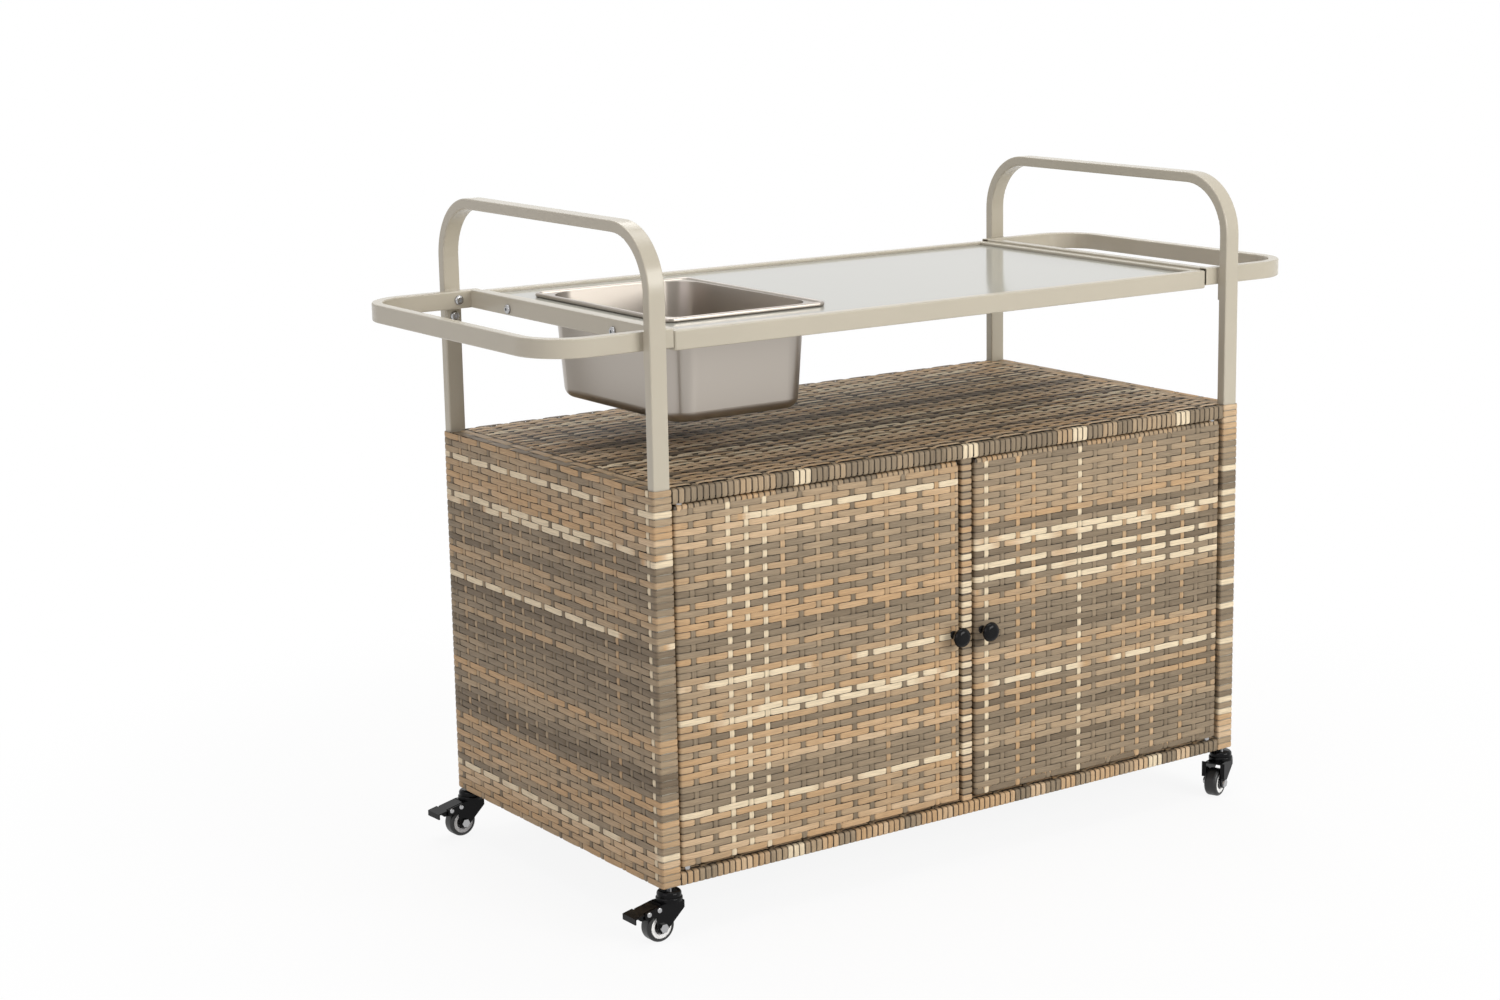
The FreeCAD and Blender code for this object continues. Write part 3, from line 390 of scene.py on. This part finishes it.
COLUMN_SPREAD = 0.42            # range of the uprights' tones
COLUMN_BIAS = 1.4               # power that makes dark uprights more common
PALE_COLUMN_TONE = 0.92
CROWN_POWER = 3.0               # how flat a strand's top is
SIDE_SHADE = 0.9                # how much deeper a strand's sides are shaded
SIDE_POWER = 8.0                # how narrow these shaded sides are
FLAT_LEVEL = 0.5                # shading level where nothing crosses a row

WEAVE_INPUTS = (
    ("Path", "Object"), ("Axis", "Vector"), ("First", "Float"), ("Rows", "Int"), ("Pitch", "Float"),
    ("Width", "Float"), ("Wander", "Float"), ("Samples", "Int"), ("Lift", "Float"), ("Crown", "Float"),
    ("Outset", "Float"), ("Weave from", "Float"), ("Weave to", "Float"), ("Column first", "Float"),
    ("Columns", "Int"), ("Column pitch", "Float"), ("Column width", "Float"), ("Column samples", "Int"),
    ("Backing", "Float"), ("Seed", "Float"), ("Group", "Float"), ("Bands", "Float"), ("Contrast", "Float"),
    ("Scatter", "Float"), ("Drift", "Float"), ("Tone", "Float"), ("Warm edges", "Float"),
    ("Pale share", "Float"), ("Pale tone", "Float"), ("Pale stretch", "Float"), ("Pale column", "Int"),
    ("Pale columns", "Int"), ("Pale step", "Int"), ("Strand material", "Material"),
    ("Backing material", "Material"),
)


def weave_tree():
    """Flat strands side by side along a path, over and under uprights that cross them, on a near-black sheet
    that stands for the shade behind them.
    """
    t = Tree("weave", WEAVE_INPUTS)
    path = t.node("GeometryNodeObjectInfo", {"Object": t.given("Path")}).outputs["Geometry"]
    length = t.node("GeometryNodeCurveLength", {"Curve": path}).outputs[0]
    half_pitch = t.math("MULTIPLY", t.given("Pitch"), 0.5)
    last = t.total(t.given("First"), t.math("MULTIPLY", t.given("Rows"), t.given("Pitch")))
    low = t.math("SUBTRACT", t.given("First"), half_pitch)
    high = t.math("SUBTRACT", last, half_pitch)

    def strands(count, samples):
        """A grid cut into strips: its geometry, the share along a strip, its number and -1 to 1 across it."""
        points = t.math("MULTIPLY", count, float(PROFILE))
        grid, share, across = t.grid(samples, points)
        across = t.math("MULTIPLY", across, t.math("SUBTRACT", points, 1.0))
        between = t.math("FLOORED_MODULO", t.math("FLOOR", across), float(PROFILE))
        cut = {"Geometry": grid, "Selection": t.math("COMPARE", between, PROFILE - 1.0, 0.1)}
        strips = t.node("GeometryNodeDeleteGeometry", cut, domain="FACE").outputs[0]
        step = t.math("ROUND", across)
        number = t.math("FLOOR", t.math("DIVIDE", t.math("ADD", step, 0.5), float(PROFILE)))
        inside = t.math("SUBTRACT", step, t.math("MULTIPLY", number, float(PROFILE)))
        even = t.math("SUBTRACT", t.math("DIVIDE", inside, (PROFILE - 1) / 2), 1.0)
        side = t.math("MULTIPLY", t.math("SIGN", even), t.math("SQRT", t.math("ABSOLUTE", even)))
        return strips, share, number, side

    def laid(strips, along, up, height):
        """A grid's points moved to their places along the path, up from it and out of the surface."""
        sample = t.node("GeometryNodeSampleCurve", {"Curves": path, "Length": along}, mode="LENGTH",
                        data_type="FLOAT", use_all_curves=True)
        out = t.vector("NORMALIZE", t.vector("CROSS_PRODUCT", t.given("Axis"), sample.outputs["Tangent"]))
        offset = t.vector("ADD", t.scaled(t.given("Axis"), up), t.scaled(out, height))
        place = t.vector("ADD", sample.outputs["Position"], offset)
        return t.node("GeometryNodeSetPosition", {"Geometry": strips, "Position": place}).outputs[0]

    def window(along):
        """1 on the woven part of the path, 0 off it."""
        rise = t.math("MULTIPLY", t.math("SUBTRACT", along, t.given("Weave from")), EDGE_RATE)
        fall = t.math("MULTIPLY", t.math("SUBTRACT", t.given("Weave to"), along), EDGE_RATE)
        return t.math("MULTIPLY", t.clamped(rise), t.clamped(fall))

    def turn(along):
        """How many columns along the path a place is."""
        return t.math("DIVIDE", t.math("SUBTRACT", along, t.given("Column first")), t.given("Column pitch"))

    def raised(level, side):
        """How far a strand stands out, with its rounded top."""
        drop = t.math("POWER", t.math("ABSOLUTE", side), CROWN_POWER)
        crown = t.math("MULTIPLY", t.given("Crown"), t.math("SUBTRACT", 1.0, drop))
        return t.total(t.given("Outset"), t.math("MULTIPLY", level, t.given("Lift")), crown)

    def shaded(strips, tone, level, run, side, number):
        """The strips with the values that their material reads: tone, a level of painted shade, and streaks.
        """
        streaks = {i: t.math("MULTIPLY", value, FIBRE[i]) for i, value in enumerate((run, side, number))}
        fibre = t.node("ShaderNodeCombineXYZ", streaks).outputs[0]
        side_painted_shade = t.math("MULTIPLY", t.math("POWER", t.math("ABSOLUTE", side), SIDE_POWER), SIDE_SHADE)
        strips = t.store(strips, "tone", "FLOAT", tone)
        # painted shade: deeper in a dip and at a strand's sides
        strips = t.store(strips, "depth", "FLOAT", t.math("SUBTRACT", level, side_painted_shade))
        return t.store(strips, "fibre", "FLOAT_VECTOR", fibre)

    def pale(tone, share, shown):
        """A tone moved towards the one shown."""
        return t.math("ADD", tone, t.math("MULTIPLY", t.math("SUBTRACT", shown, tone), share))

    def wave(along, seeded, rates):
        """A smooth random value along a row, different in each row."""
        scale, step = rates
        return t.noise(t.total(t.math("MULTIPLY", along, scale), t.math("MULTIPLY", seeded, step)))

    # Rows
    strips, share, row, side = strands(t.given("Rows"), t.given("Samples"))
    even = t.math("MULTIPLY", share, length)
    swing = t.math("SINE", t.math("MULTIPLY", turn(even), 2 * math.pi))
    crowd = t.math("MULTIPLY", t.math("MULTIPLY", swing, CROWDING / (2 * math.pi)), t.given("Column pitch"))
    along = t.math("SUBTRACT", even, t.math("MULTIPLY", crowd, window(even)))
    seeded = t.total(row, t.math("MULTIPLY", t.given("Seed"), ROW_DRAWS))
    bands = t.noise(t.math("MULTIPLY", seeded, t.given("Bands")))
    group = t.math("FLOOR", t.math("DIVIDE", t.math("ADD", seeded, 0.5), t.given("Group")))
    height_share = t.math("DIVIDE", t.math("MULTIPLY", row, 2.0), t.given("Rows"))
    rim = t.math("ABSOLUTE", t.math("SUBTRACT", height_share, 1.0))
    tone = t.total(t.given("Tone"), t.about(bands, t.given("Contrast")),
                   t.about(t.pick(group), t.given("Scatter")), t.about(t.pick(seeded), ROW_JITTER),
                   t.about(wave(along, seeded, DRIFT_WAVE), t.given("Drift")),
                   t.math("MULTIPLY", t.math("MULTIPLY", rim, rim), t.given("Warm edges")))
    tone = t.math("MINIMUM", tone, LIGHTEST)
    lucky = t.math("LESS_THAN", t.pick(t.math("ADD", group, PALE_DRAW)), t.given("Pale share"))
    lucky = t.math("MULTIPLY", lucky, t.math("LESS_THAN", rim, PALE_REACH))
    within = t.math("SUBTRACT", t.given("Pale stretch"), wave(along, seeded, PALE_WAVE))
    shown = t.math("MULTIPLY", lucky, t.clamped(t.math("MULTIPLY", within, PALE_RATE)))
    tone = pale(tone, shown, t.given("Pale tone"))
    away = t.math("SUBTRACT", t.math("FLOORED_MODULO", t.math("ADD", turn(along), row), 2.0), 1.0)
    away = t.math("MULTIPLY", t.math("ABSOLUTE", away), t.given("Column pitch"))
    near = t.math("DIVIDE", away, t.math("MULTIPLY", t.given("Column width"), DIP_REACH))
    dip = t.math("EXPONENT", t.math("MULTIPLY", t.math("POWER", near, DIP_POWER), -1.0))
    level = t.math("MULTIPLY", t.math("SUBTRACT", 1.0, t.math("MULTIPLY", dip, 2.0)), window(along))
    half_share = t.math("SUBTRACT", 0.5, t.math("MULTIPLY", dip, DIP_NARROWING))
    half = t.math("MULTIPLY", t.given("Width"), half_share)
    up = t.total(t.given("First"), t.math("MULTIPLY", row, t.given("Pitch")), t.math("MULTIPLY", side, half),
                 t.about(wave(along, seeded, WANDER_WAVE), t.given("Wander")))
    flat = t.math("MULTIPLY", t.math("SUBTRACT", 1.0, window(along)), FLAT_LEVEL)
    strips = shaded(strips, tone, t.math("ADD", level, flat), along, side, row)
    rows = laid(strips, along, up, raised(level, side))

    # Uprights
    strips, share, column, side = strands(t.given("Columns"), t.given("Column samples"))
    half = t.math("MULTIPLY", t.given("Column width"), 0.5)
    at = t.total(t.given("Column first"), t.math("MULTIPLY", column, t.given("Column pitch")))
    along = t.math("ADD", at, t.math("MULTIPLY", side, half))
    up = t.math("ADD", low, t.math("MULTIPLY", share, t.math("SUBTRACT", high, low)))
    count = t.math("DIVIDE", t.math("SUBTRACT", up, t.given("First")), t.given("Pitch"))
    swing = t.math("COSINE", t.math("MULTIPLY", t.math("ADD", count, column), math.pi))
    level = t.math("MULTIPLY", swing, COLUMN_LIFT)
    seeded = t.total(column, t.math("MULTIPLY", t.given("Seed"), COLUMN_DRAWS))
    drawn = t.math("POWER", t.pick(seeded), COLUMN_BIAS)
    tone = t.math("ADD", COLUMN_TONE, t.math("MULTIPLY", drawn, COLUMN_SPREAD))
    after = t.math("SUBTRACT", column, t.given("Pale column"))
    before_end = t.math("LESS_THAN", t.math("DIVIDE", after, t.given("Pale step")), t.given("Pale columns"))
    in_range = t.math("MULTIPLY", t.math("GREATER_THAN", after, -0.5), before_end)
    on_step = t.math("COMPARE", t.math("FLOORED_MODULO", after, t.given("Pale step")), 0.0, 0.1)
    tone = pale(tone, t.math("MULTIPLY", in_range, on_step), PALE_COLUMN_TONE)
    strips = shaded(strips, tone, level, up, side, column)
    columns = laid(strips, along, up, raised(level, side))

    # Near-black sheet behind the strands: painted shade in the gaps between them
    sheet, share, across = t.grid(t.given("Samples"), 2)
    up = t.math("ADD", low, t.math("MULTIPLY", across, t.math("SUBTRACT", high, low)))
    sheet = laid(sheet, t.math("MULTIPLY", share, length), up, t.given("Backing"))

    smooth = t.node("GeometryNodeSetShadeSmooth", {"Geometry": t.joined(columns, rows)}).outputs[0]
    whole = t.joined(t.finished(sheet, "Backing material"), t.finished(smooth, "Strand material"))
    real = t.node("GeometryNodeRealizeInstances", {"Geometry": whole}).outputs[0]
    t.tree.links.new(real, t.out.inputs[0])
    return t


CORNER_STEPS = 5                # points round a corner of a strand's path, less one
CORNER_SHARE = 0.49             # most that a corner takes of the straight runs beside it


def rounded(points, radius):
    """A list of points with its inner corners rounded, in the plane they lie in."""
    made = [Vector(points[0])]
    for before, corner, after in zip(points, points[1:], points[2:]):
        corner = Vector(corner)
        back = Vector(before) - corner
        on = Vector(after) - corner
        reach = min(radius, back.length * CORNER_SHARE, on.length * CORNER_SHARE)
        start = corner + back.normalized() * reach
        end = corner + on.normalized() * reach
        for i in range(CORNER_STEPS + 1):
            share = i / CORNER_STEPS
            made.append(start.lerp(corner, share).lerp(corner.lerp(end, share), share))
    made.append(Vector(points[-1]))
    return made


# Woven pieces, in millimetres

ROW = 9.1               # height of a row
COLUMN = 27.6           # distance between uprights
COLUMN_WIDTH = 7.6      # width of an upright
WANDER = 1.6            # how far a row wanders up and down
CROWN = 0.55            # how far a strand's middle stands above its sides
OUTSET = -0.95          # how far the strands' middle layer lies from the solid's face
EDGE_SHARE = 0.6        # share of a column's distance by which the weave goes past the last upright
STEPS_PER_ROW = 3       # points along an upright for each row that it crosses
FACE_STEPS = 10         # points along a row for each upright that it crosses, on the ends and doors
PANEL_STEPS = 8         # the same on the shelf, the base and the back
BANDS = 0.17            # how fast the tone changes from row to row
PALE_TONE = 0.90        # tone of a pale row

weave = weave_tree()


def path_object(name, points):
    curve = bpy.data.curves.new(name, "CURVE")
    curve.dimensions = "3D"
    spline = curve.splines.new("POLY")
    spline.points.add(len(points) - 1)
    for point, place in zip(spline.points, points):
        point.co = (*(Vector(place) * MM), 1)
    return bpy.data.objects.new(name, curve)


def woven(name, body, node, points, axis, low, high, rows, samples, columns=0, column_from=0.0, column_to=0.0,
          lift=1.1, width=0.92, backing_depth=2.3, seed=1.0, group=1, contrast=0.5, scatter=0.2, drift=0.3,
          tone=0.45, warm=0.0, share=0.06, pale_stretch=1.2, pale_column=-1, pale_columns=0, pale_step=1):
    """One woven or wrapped surface: points are a strand's path, rows stand along axis from low to high."""
    path = path_object(name + "_path", points)
    maker = bpy.data.objects.new(name + "_maker", bpy.data.meshes.new(name + "_maker"))
    for helper in (path, maker):
        bpy.context.collection.objects.link(helper)
    pitch = (high - low) / rows
    column_pitch = (column_to - column_from) / max(columns - 1, 1)
    past = column_pitch * EDGE_SHARE
    modifier = maker.modifiers.new("weave", "NODES")
    modifier.node_group = weave.tree
    values = {
        "Path": path, "Axis": Vector(axis), "Strand material": wicker, "Backing material": shade_backing,
        "First": (low + pitch / 2) * MM, "Rows": rows, "Pitch": pitch * MM, "Width": pitch * width * MM,
        "Wander": WANDER * MM, "Samples": samples, "Lift": lift * MM, "Crown": CROWN * MM,
        "Outset": OUTSET * MM, "Backing": -backing_depth * MM,
        "Weave from": (column_from - past) * MM, "Weave to": (column_to + past) * MM,
        "Column first": column_from * MM, "Columns": columns, "Column pitch": max(column_pitch, 1.0) * MM,
        "Column width": COLUMN_WIDTH * MM, "Column samples": rows * STEPS_PER_ROW + 1,
        "Seed": float(seed), "Group": float(group), "Bands": BANDS, "Contrast": contrast,
        "Scatter": scatter, "Drift": drift, "Tone": tone, "Warm edges": warm,
        "Pale share": share, "Pale tone": PALE_TONE, "Pale stretch": pale_stretch,
        "Pale column": pale_column, "Pale columns": pale_columns, "Pale step": pale_step,
    }
    for title, value in values.items():
        modifier[weave.ids[title]] = value
    depsgraph = bpy.context.evaluated_depsgraph_get()
    mesh = bpy.data.meshes.new_from_object(maker.evaluated_get(depsgraph), preserve_all_data_layers=True,
                                           depsgraph=depsgraph)
    mesh.name = name
    for helper in (path, maker):
        bpy.data.objects.remove(helper)
    piece = bpy.data.objects.new(name, mesh)
    bpy.context.collection.objects.link(piece)
    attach(piece, body)
    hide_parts(node)


def box_mm(node):
    low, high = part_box(node)
    return [c / MM for c in low], [c / MM for c in high]


def rows_in(size, pitch=ROW):
    return max(1, round(size / pitch))


def columns_in(size):
    return round(size / COLUMN) + 1


# Ends
END_RETURN = 17         # how far an end's rows run back along its inside
END_CORNER = 3.0        # radius of an end's upright corners
END_CORNER_CUT = 4      # length that rounding takes off the rows before they reach an end's face
END_CORNER_STEPS = 50   # points along a row for the corners and returns of an end
END_MARGIN = 18         # from an end's corner to its first upright
LEG = 17.5              # from an end's front or back to the far side of the leg in its top
END_TOP_ROW = 12.0      # width of a row along the top of an end
END_TOP_MARGIN = 4      # from a leg to the first strand across the top of an end
END_TOP_DRAW = 20       # step from an end's seed to its top's

for side, name, seed in ((-1, "left_end", 629.0), (1, "right_end", 4.0)):
    low, high = box_mm(name + "_weave")
    inner = high[0] if side < 0 else low[0]
    outer = low[0] if side < 0 else high[0]
    front, back = low[1], high[1]
    plan = [(inner, front + END_RETURN, 0), (inner, front, 0), (outer, front, 0),
            (outer, back, 0), (inner, back, 0), (inner, back - END_RETURN, 0)]
    if side > 0:
        plan.reverse()
    lead = END_RETURN + abs(outer - inner) - END_CORNER_CUT
    deep = back - front
    columns = columns_in(deep - 2 * END_MARGIN)
    woven(name + "_wicker", "cart", name + "_weave", rounded(plan, END_CORNER), (0, 0, 1), low[2], high[2],
          rows_in(high[2] - low[2]), columns * FACE_STEPS + END_CORNER_STEPS,
          columns, lead + END_MARGIN, lead + deep - END_MARGIN,
          seed=seed, warm=0.20, tone=0.38, contrast=0.55, scatter=0.20, share=0.14, pale_stretch=0.72,
          pale_column=0 if side < 0 else columns - 1, pale_columns=1)
    over = [(0, front + LEG, high[2]), (0, back - LEG, high[2])]
    woven(name + "_top_wicker", "cart", name + "_weave", over, (1, 0, 0), low[0], high[0],
          rows_in(high[0] - low[0], END_TOP_ROW), columns * FACE_STEPS,
          columns, END_TOP_MARGIN, deep - 2 * LEG - END_TOP_MARGIN,
          seed=seed + END_TOP_DRAW, tone=0.42, contrast=0.3, scatter=0.4, drift=0.5, share=0.0)

# Shelf and base
PANEL_MARGIN = 12       # from the side of a panel to its first upright
PANEL_EDGE = 8.0        # how far the wraps reach in over a panel's top
PANEL_UNDER = 17.0      # how far they reach in below it
PANEL_WRAP = 9.4        # width of a strand in these wraps
PANEL_CORNER = 5.0      # radius of a panel's edges
WRAP_STEPS = 22         # points along a strand of a wrap
WRAP_GROUP = 3          # neighbouring strands of a wrap that share a tone
WRAP_PALE = 0.3         # share of pale strands in a panel's wraps, for each unit of scatter

PANELS = (              # seed, tone and scatter of the wraps, and how far the front one hangs below the panel
    ("shelf", 5.0, 0.42, 0.22, 2.2),
    ("base", 6.0, 0.54, 0.44, 0.0),
)
for name, seed, tone, scatter, lip in PANELS:
    low, high = box_mm(name + "_weave")
    wide = high[0] - low[0]
    first = low[1] + PANEL_EDGE
    last = high[1] - PANEL_EDGE
    path = [(high[0], 0, high[2]), (low[0], 0, high[2])]
    columns = columns_in(wide - 2 * PANEL_MARGIN)
    woven(name + "_wicker", "cart", name + "_weave", path, (0, 1, 0), first, last,
          rows_in(last - first), columns * PANEL_STEPS, columns, PANEL_MARGIN, wide - PANEL_MARGIN,
          lift=2.2, width=0.80, backing_depth=3.8, seed=seed, tone=0.55, contrast=0.36, scatter=0.68,
          share=0.18, pale_stretch=0.64)
    bottom = low[2] - lip
    front = [(0, low[1] + PANEL_UNDER, bottom), (0, low[1], bottom), (0, low[1], high[2]),
             (0, low[1] + PANEL_EDGE, high[2])]
    rear = [(0, high[1] - PANEL_EDGE, high[2]), (0, high[1], high[2]), (0, high[1], low[2]),
            (0, high[1] - PANEL_UNDER, low[2])]
    for label, around, draw in (("front", front, 30), ("rear", rear, 40)):
        woven(f"{name}_{label}_wrap", "cart", name + "_weave", rounded(around, PANEL_CORNER), (1, 0, 0),
              low[0], high[0], rows_in(wide, PANEL_WRAP), WRAP_STEPS, lift=0.0, seed=seed + draw,
              group=WRAP_GROUP, tone=tone, contrast=0.15, scatter=scatter, drift=0.03,
              share=scatter * WRAP_PALE)

# Back
low, high = box_mm("back_weave")
wide = high[0] - low[0]
columns = columns_in(wide - 2 * PANEL_MARGIN)
woven("back_wicker", "cart", "back_weave", [(low[0], high[1], 0), (high[0], high[1], 0)], (0, 0, 1),
      low[2], high[2], rows_in(high[2] - low[2]), columns * PANEL_STEPS,
      columns, PANEL_MARGIN, wide - PANEL_MARGIN, seed=7.0, tone=0.44)

# Centre post
POST_WRAP = 9.7         # height of a strand round the post
POST_CORNER = 3.0       # radius of the post's corners
POST_STEPS = 30         # points along a strand round the post

low, high = box_mm("centre_post_weave")
loop = [(high[0], high[1], 0), (high[0], low[1], 0), (low[0], low[1], 0), (low[0], high[1], 0),
        (high[0], high[1], 0)]
woven("centre_post_wicker", "cart", "centre_post_weave", rounded(loop, POST_CORNER), (0, 0, 1),
      low[2], high[2], rows_in(high[2] - low[2], POST_WRAP), POST_STEPS, lift=0.0, seed=9.0,
      tone=0.54, scatter=0.35, drift=0.04, share=0.22)

# Doors
DOOR_TURN = 22.0        # how far a door's rows run in behind it
DOOR_CORNER = 6.0       # radius of a door's upright edges
DOOR_CORNER_CUT = 9     # length that rounding takes off the rows before they reach a door's face
DOOR_CORNER_STEPS = 40  # points along a row for the corners and turns of a door
DOOR_TOP = 6            # from the uppermost row to the door's top
POST_MARGIN = 16        # from a door's edge at the post to the nearest upright
HINGE_MARGIN = 21       # from a door's edge at the hinge to the nearest upright
DOOR_WRAP = 9.2         # width of a strand in the wraps over a door's top and bottom
DOOR_WRAP_MARGIN = 4    # from a door's side to these wraps
DOOR_WRAP_FRONT = 9     # how far they reach over the front of a door
DOOR_WRAP_BACK = 24     # how far they reach over its back
DOOR_WRAP_CORNER = 7.0  # radius of their bends
DOOR_WRAP_DRAW = 50     # step from a door's seed to its wraps'

DOORS = (       # margins, seed, tone, first pale upright counted from the last one, how many, at what step
    ("left_door", POST_MARGIN, HINGE_MARGIN, 1234.0, 0.52, 5, 3, 1),
    ("right_door", HINGE_MARGIN, POST_MARGIN, 306.0, 0.42, 7, 2, 6),
)
for name, start, end, seed, tone, pale_from_last, pale_columns, pale_step in DOORS:
    low, high = box_mm(name + "_weave")
    wide = high[0] - low[0]
    plan = [(high[0] - DOOR_TURN, high[1], 0), (high[0], high[1], 0), (high[0], low[1], 0),
            (low[0], low[1], 0), (low[0], high[1], 0), (low[0] + DOOR_TURN, high[1], 0)]
    lead = DOOR_TURN + (high[1] - low[1]) - DOOR_CORNER_CUT
    columns = columns_in(wide - start - end)
    top = high[2] - DOOR_TOP
    woven(name + "_wicker", name, name + "_weave", rounded(plan, DOOR_CORNER), (0, 0, 1), low[2], top,
          rows_in(top - low[2]), columns * FACE_STEPS + DOOR_CORNER_STEPS,
          columns, lead + start, lead + wide - end,
          seed=seed, tone=tone, contrast=0.55, scatter=0.28, drift=0.28, share=0.12, pale_stretch=0.66,
          pale_column=columns - pale_from_last, pale_columns=pale_columns, pale_step=pale_step)
    for label, level, away in (("top", high[2], -1), ("bottom", low[2], 1)):
        over = [(0, low[1], level + away * DOOR_WRAP_FRONT), (0, low[1], level), (0, high[1], level),
                (0, high[1], level + away * DOOR_WRAP_BACK)]
        if away > 0:
            over.reverse()
        woven(f"{name}_{label}_wrap", name, name + "_weave", rounded(over, DOOR_WRAP_CORNER), (1, 0, 0),
              low[0] + DOOR_WRAP_MARGIN, high[0] - DOOR_WRAP_MARGIN,
              rows_in(wide - 2 * DOOR_WRAP_MARGIN, DOOR_WRAP), WRAP_STEPS, lift=0.0,
              seed=seed + DOOR_WRAP_DRAW + away, group=WRAP_GROUP, tone=0.5, contrast=0.2, scatter=0.3,
              drift=0.03, share=0.0)


# Floor, light and camera

FLOOR_SIZE = 60.0
SHADOW_NEAR = 0.75      # distance from the cart's middle at which its shadow starts to fade
SHADOW_FAR = 1.5        # distance at which it is gone
FLOOR_WHITE = 0.9       # share of plain white in the floor near the cart


def area(name, place, target, size, power, color):
    light = bpy.data.lights.new(name, "AREA")
    light.shape = "RECTANGLE"
    light.size, light.size_y = size
    light.energy = power
    light.color = color
    lamp = bpy.data.objects.new(name, light)
    lamp.location = place
    lamp.rotation_euler = (Vector(target) - Vector(place)).to_track_quat("-Z", "Y").to_euler()
    bpy.context.collection.objects.link(lamp)


def seen_ray(tree):
    """1 for a ray that shows the surroundings to the eye, straight, mirrored or through something clear."""
    ray = add(tree, "ShaderNodeLightPath")
    mirrored = shader_math(tree, "MAXIMUM", ray.outputs["Is Glossy Ray"], ray.outputs["Is Transmission Ray"])
    return shader_math(tree, "MAXIMUM", ray.outputs["Is Camera Ray"], mirrored)


bpy.ops.mesh.primitive_plane_add(size=FLOOR_SIZE, location=(0, 0, 0))
floor = bpy.context.object
floor.name = "floor"
floor_material, floor_tree, floor_base = shader("floor")
floor_base.inputs["Base Color"].default_value = (0.90, 0.90, 0.90, 1)
floor_base.inputs["Roughness"].default_value = 0.7
floor_base.inputs["Specular IOR Level"].default_value = 0.1
floor_far = add(floor_tree, "ShaderNodeVectorMath", operation="LENGTH")
floor_tree.links.new(place_on_piece(floor_tree), floor_far.inputs[0])
floor_fade = mapped(floor_tree, floor_far.outputs["Value"], FLOOR_WHITE, 1.0, start=SHADOW_NEAR,
                    end=SHADOW_FAR, interpolation_type="SMOOTHSTEP")
floor_share = shader_math(floor_tree, "MULTIPLY", floor_fade, seen_ray(floor_tree))
floor_white = add(floor_tree, "ShaderNodeEmission")
floor_white.inputs["Strength"].default_value = 1.0
floor_mix = add(floor_tree, "ShaderNodeMixShader")
floor_tree.links.new(floor_share, floor_mix.inputs["Fac"])
floor_tree.links.new(floor_base.outputs["BSDF"], floor_mix.inputs[1])
floor_tree.links.new(floor_white.outputs["Emission"], floor_mix.inputs[2])
floor_tree.links.new(floor_mix.outputs[0], floor_tree.nodes["Material Output"].inputs["Surface"])
floor.data.materials.append(floor_material)

area("key", (1.6, -4.6, 2.3), (0, 0, 0.5), (3.0, 2.4), 150.0, (1.0, 0.985, 0.96))
area("fill", (-4.2, -1.5, 2.2), (0, 0, 0.5), (3.0, 2.6), 31.0, (1.0, 0.926, 0.985))
area("top", (0.2, 0.4, 4.4), (0, 0, 0.5), (3.4, 3.0), 80.0, (1.0, 1.0, 1.0))
area("rear", (1.6, 3.6, 4.4), (0, 0, 0.6), (2.6, 2.2), 45.0, (1.0, 1.0, 1.0))

scene = bpy.context.scene
world = bpy.data.worlds.new("studio")
scene.world = world
world.use_nodes = True
sky = world.node_tree
surround = sky.nodes["Background"]
surround.inputs["Color"].default_value = (0.96, 0.96, 0.96, 1)
surround.inputs["Strength"].default_value = 0.36
white = add(sky, "ShaderNodeBackground")
white.inputs["Color"].default_value = (1, 1, 1, 1)
white.inputs["Strength"].default_value = 1.0
choose = add(sky, "ShaderNodeMixShader")
sky.links.new(seen_ray(sky), choose.inputs["Fac"])
sky.links.new(surround.outputs["Background"], choose.inputs[1])
sky.links.new(white.outputs["Background"], choose.inputs[2])
sky.links.new(choose.outputs[0], sky.nodes["World Output"].inputs["Surface"])

lens = bpy.data.cameras.new("camera")
lens.lens = 65.34
lens.sensor_width = 36.0
lens.shift_x = -0.06
lens.shift_y = -0.0121
camera = bpy.data.objects.new("camera", lens)
camera.location = (-2.2947, -3.1380, 1.2950)
camera.rotation_euler = (math.radians(78.471), math.radians(0.675), math.radians(-36.1265))
bpy.context.collection.objects.link(camera)
scene.camera = camera
scene.view_settings.view_transform = "Standard"
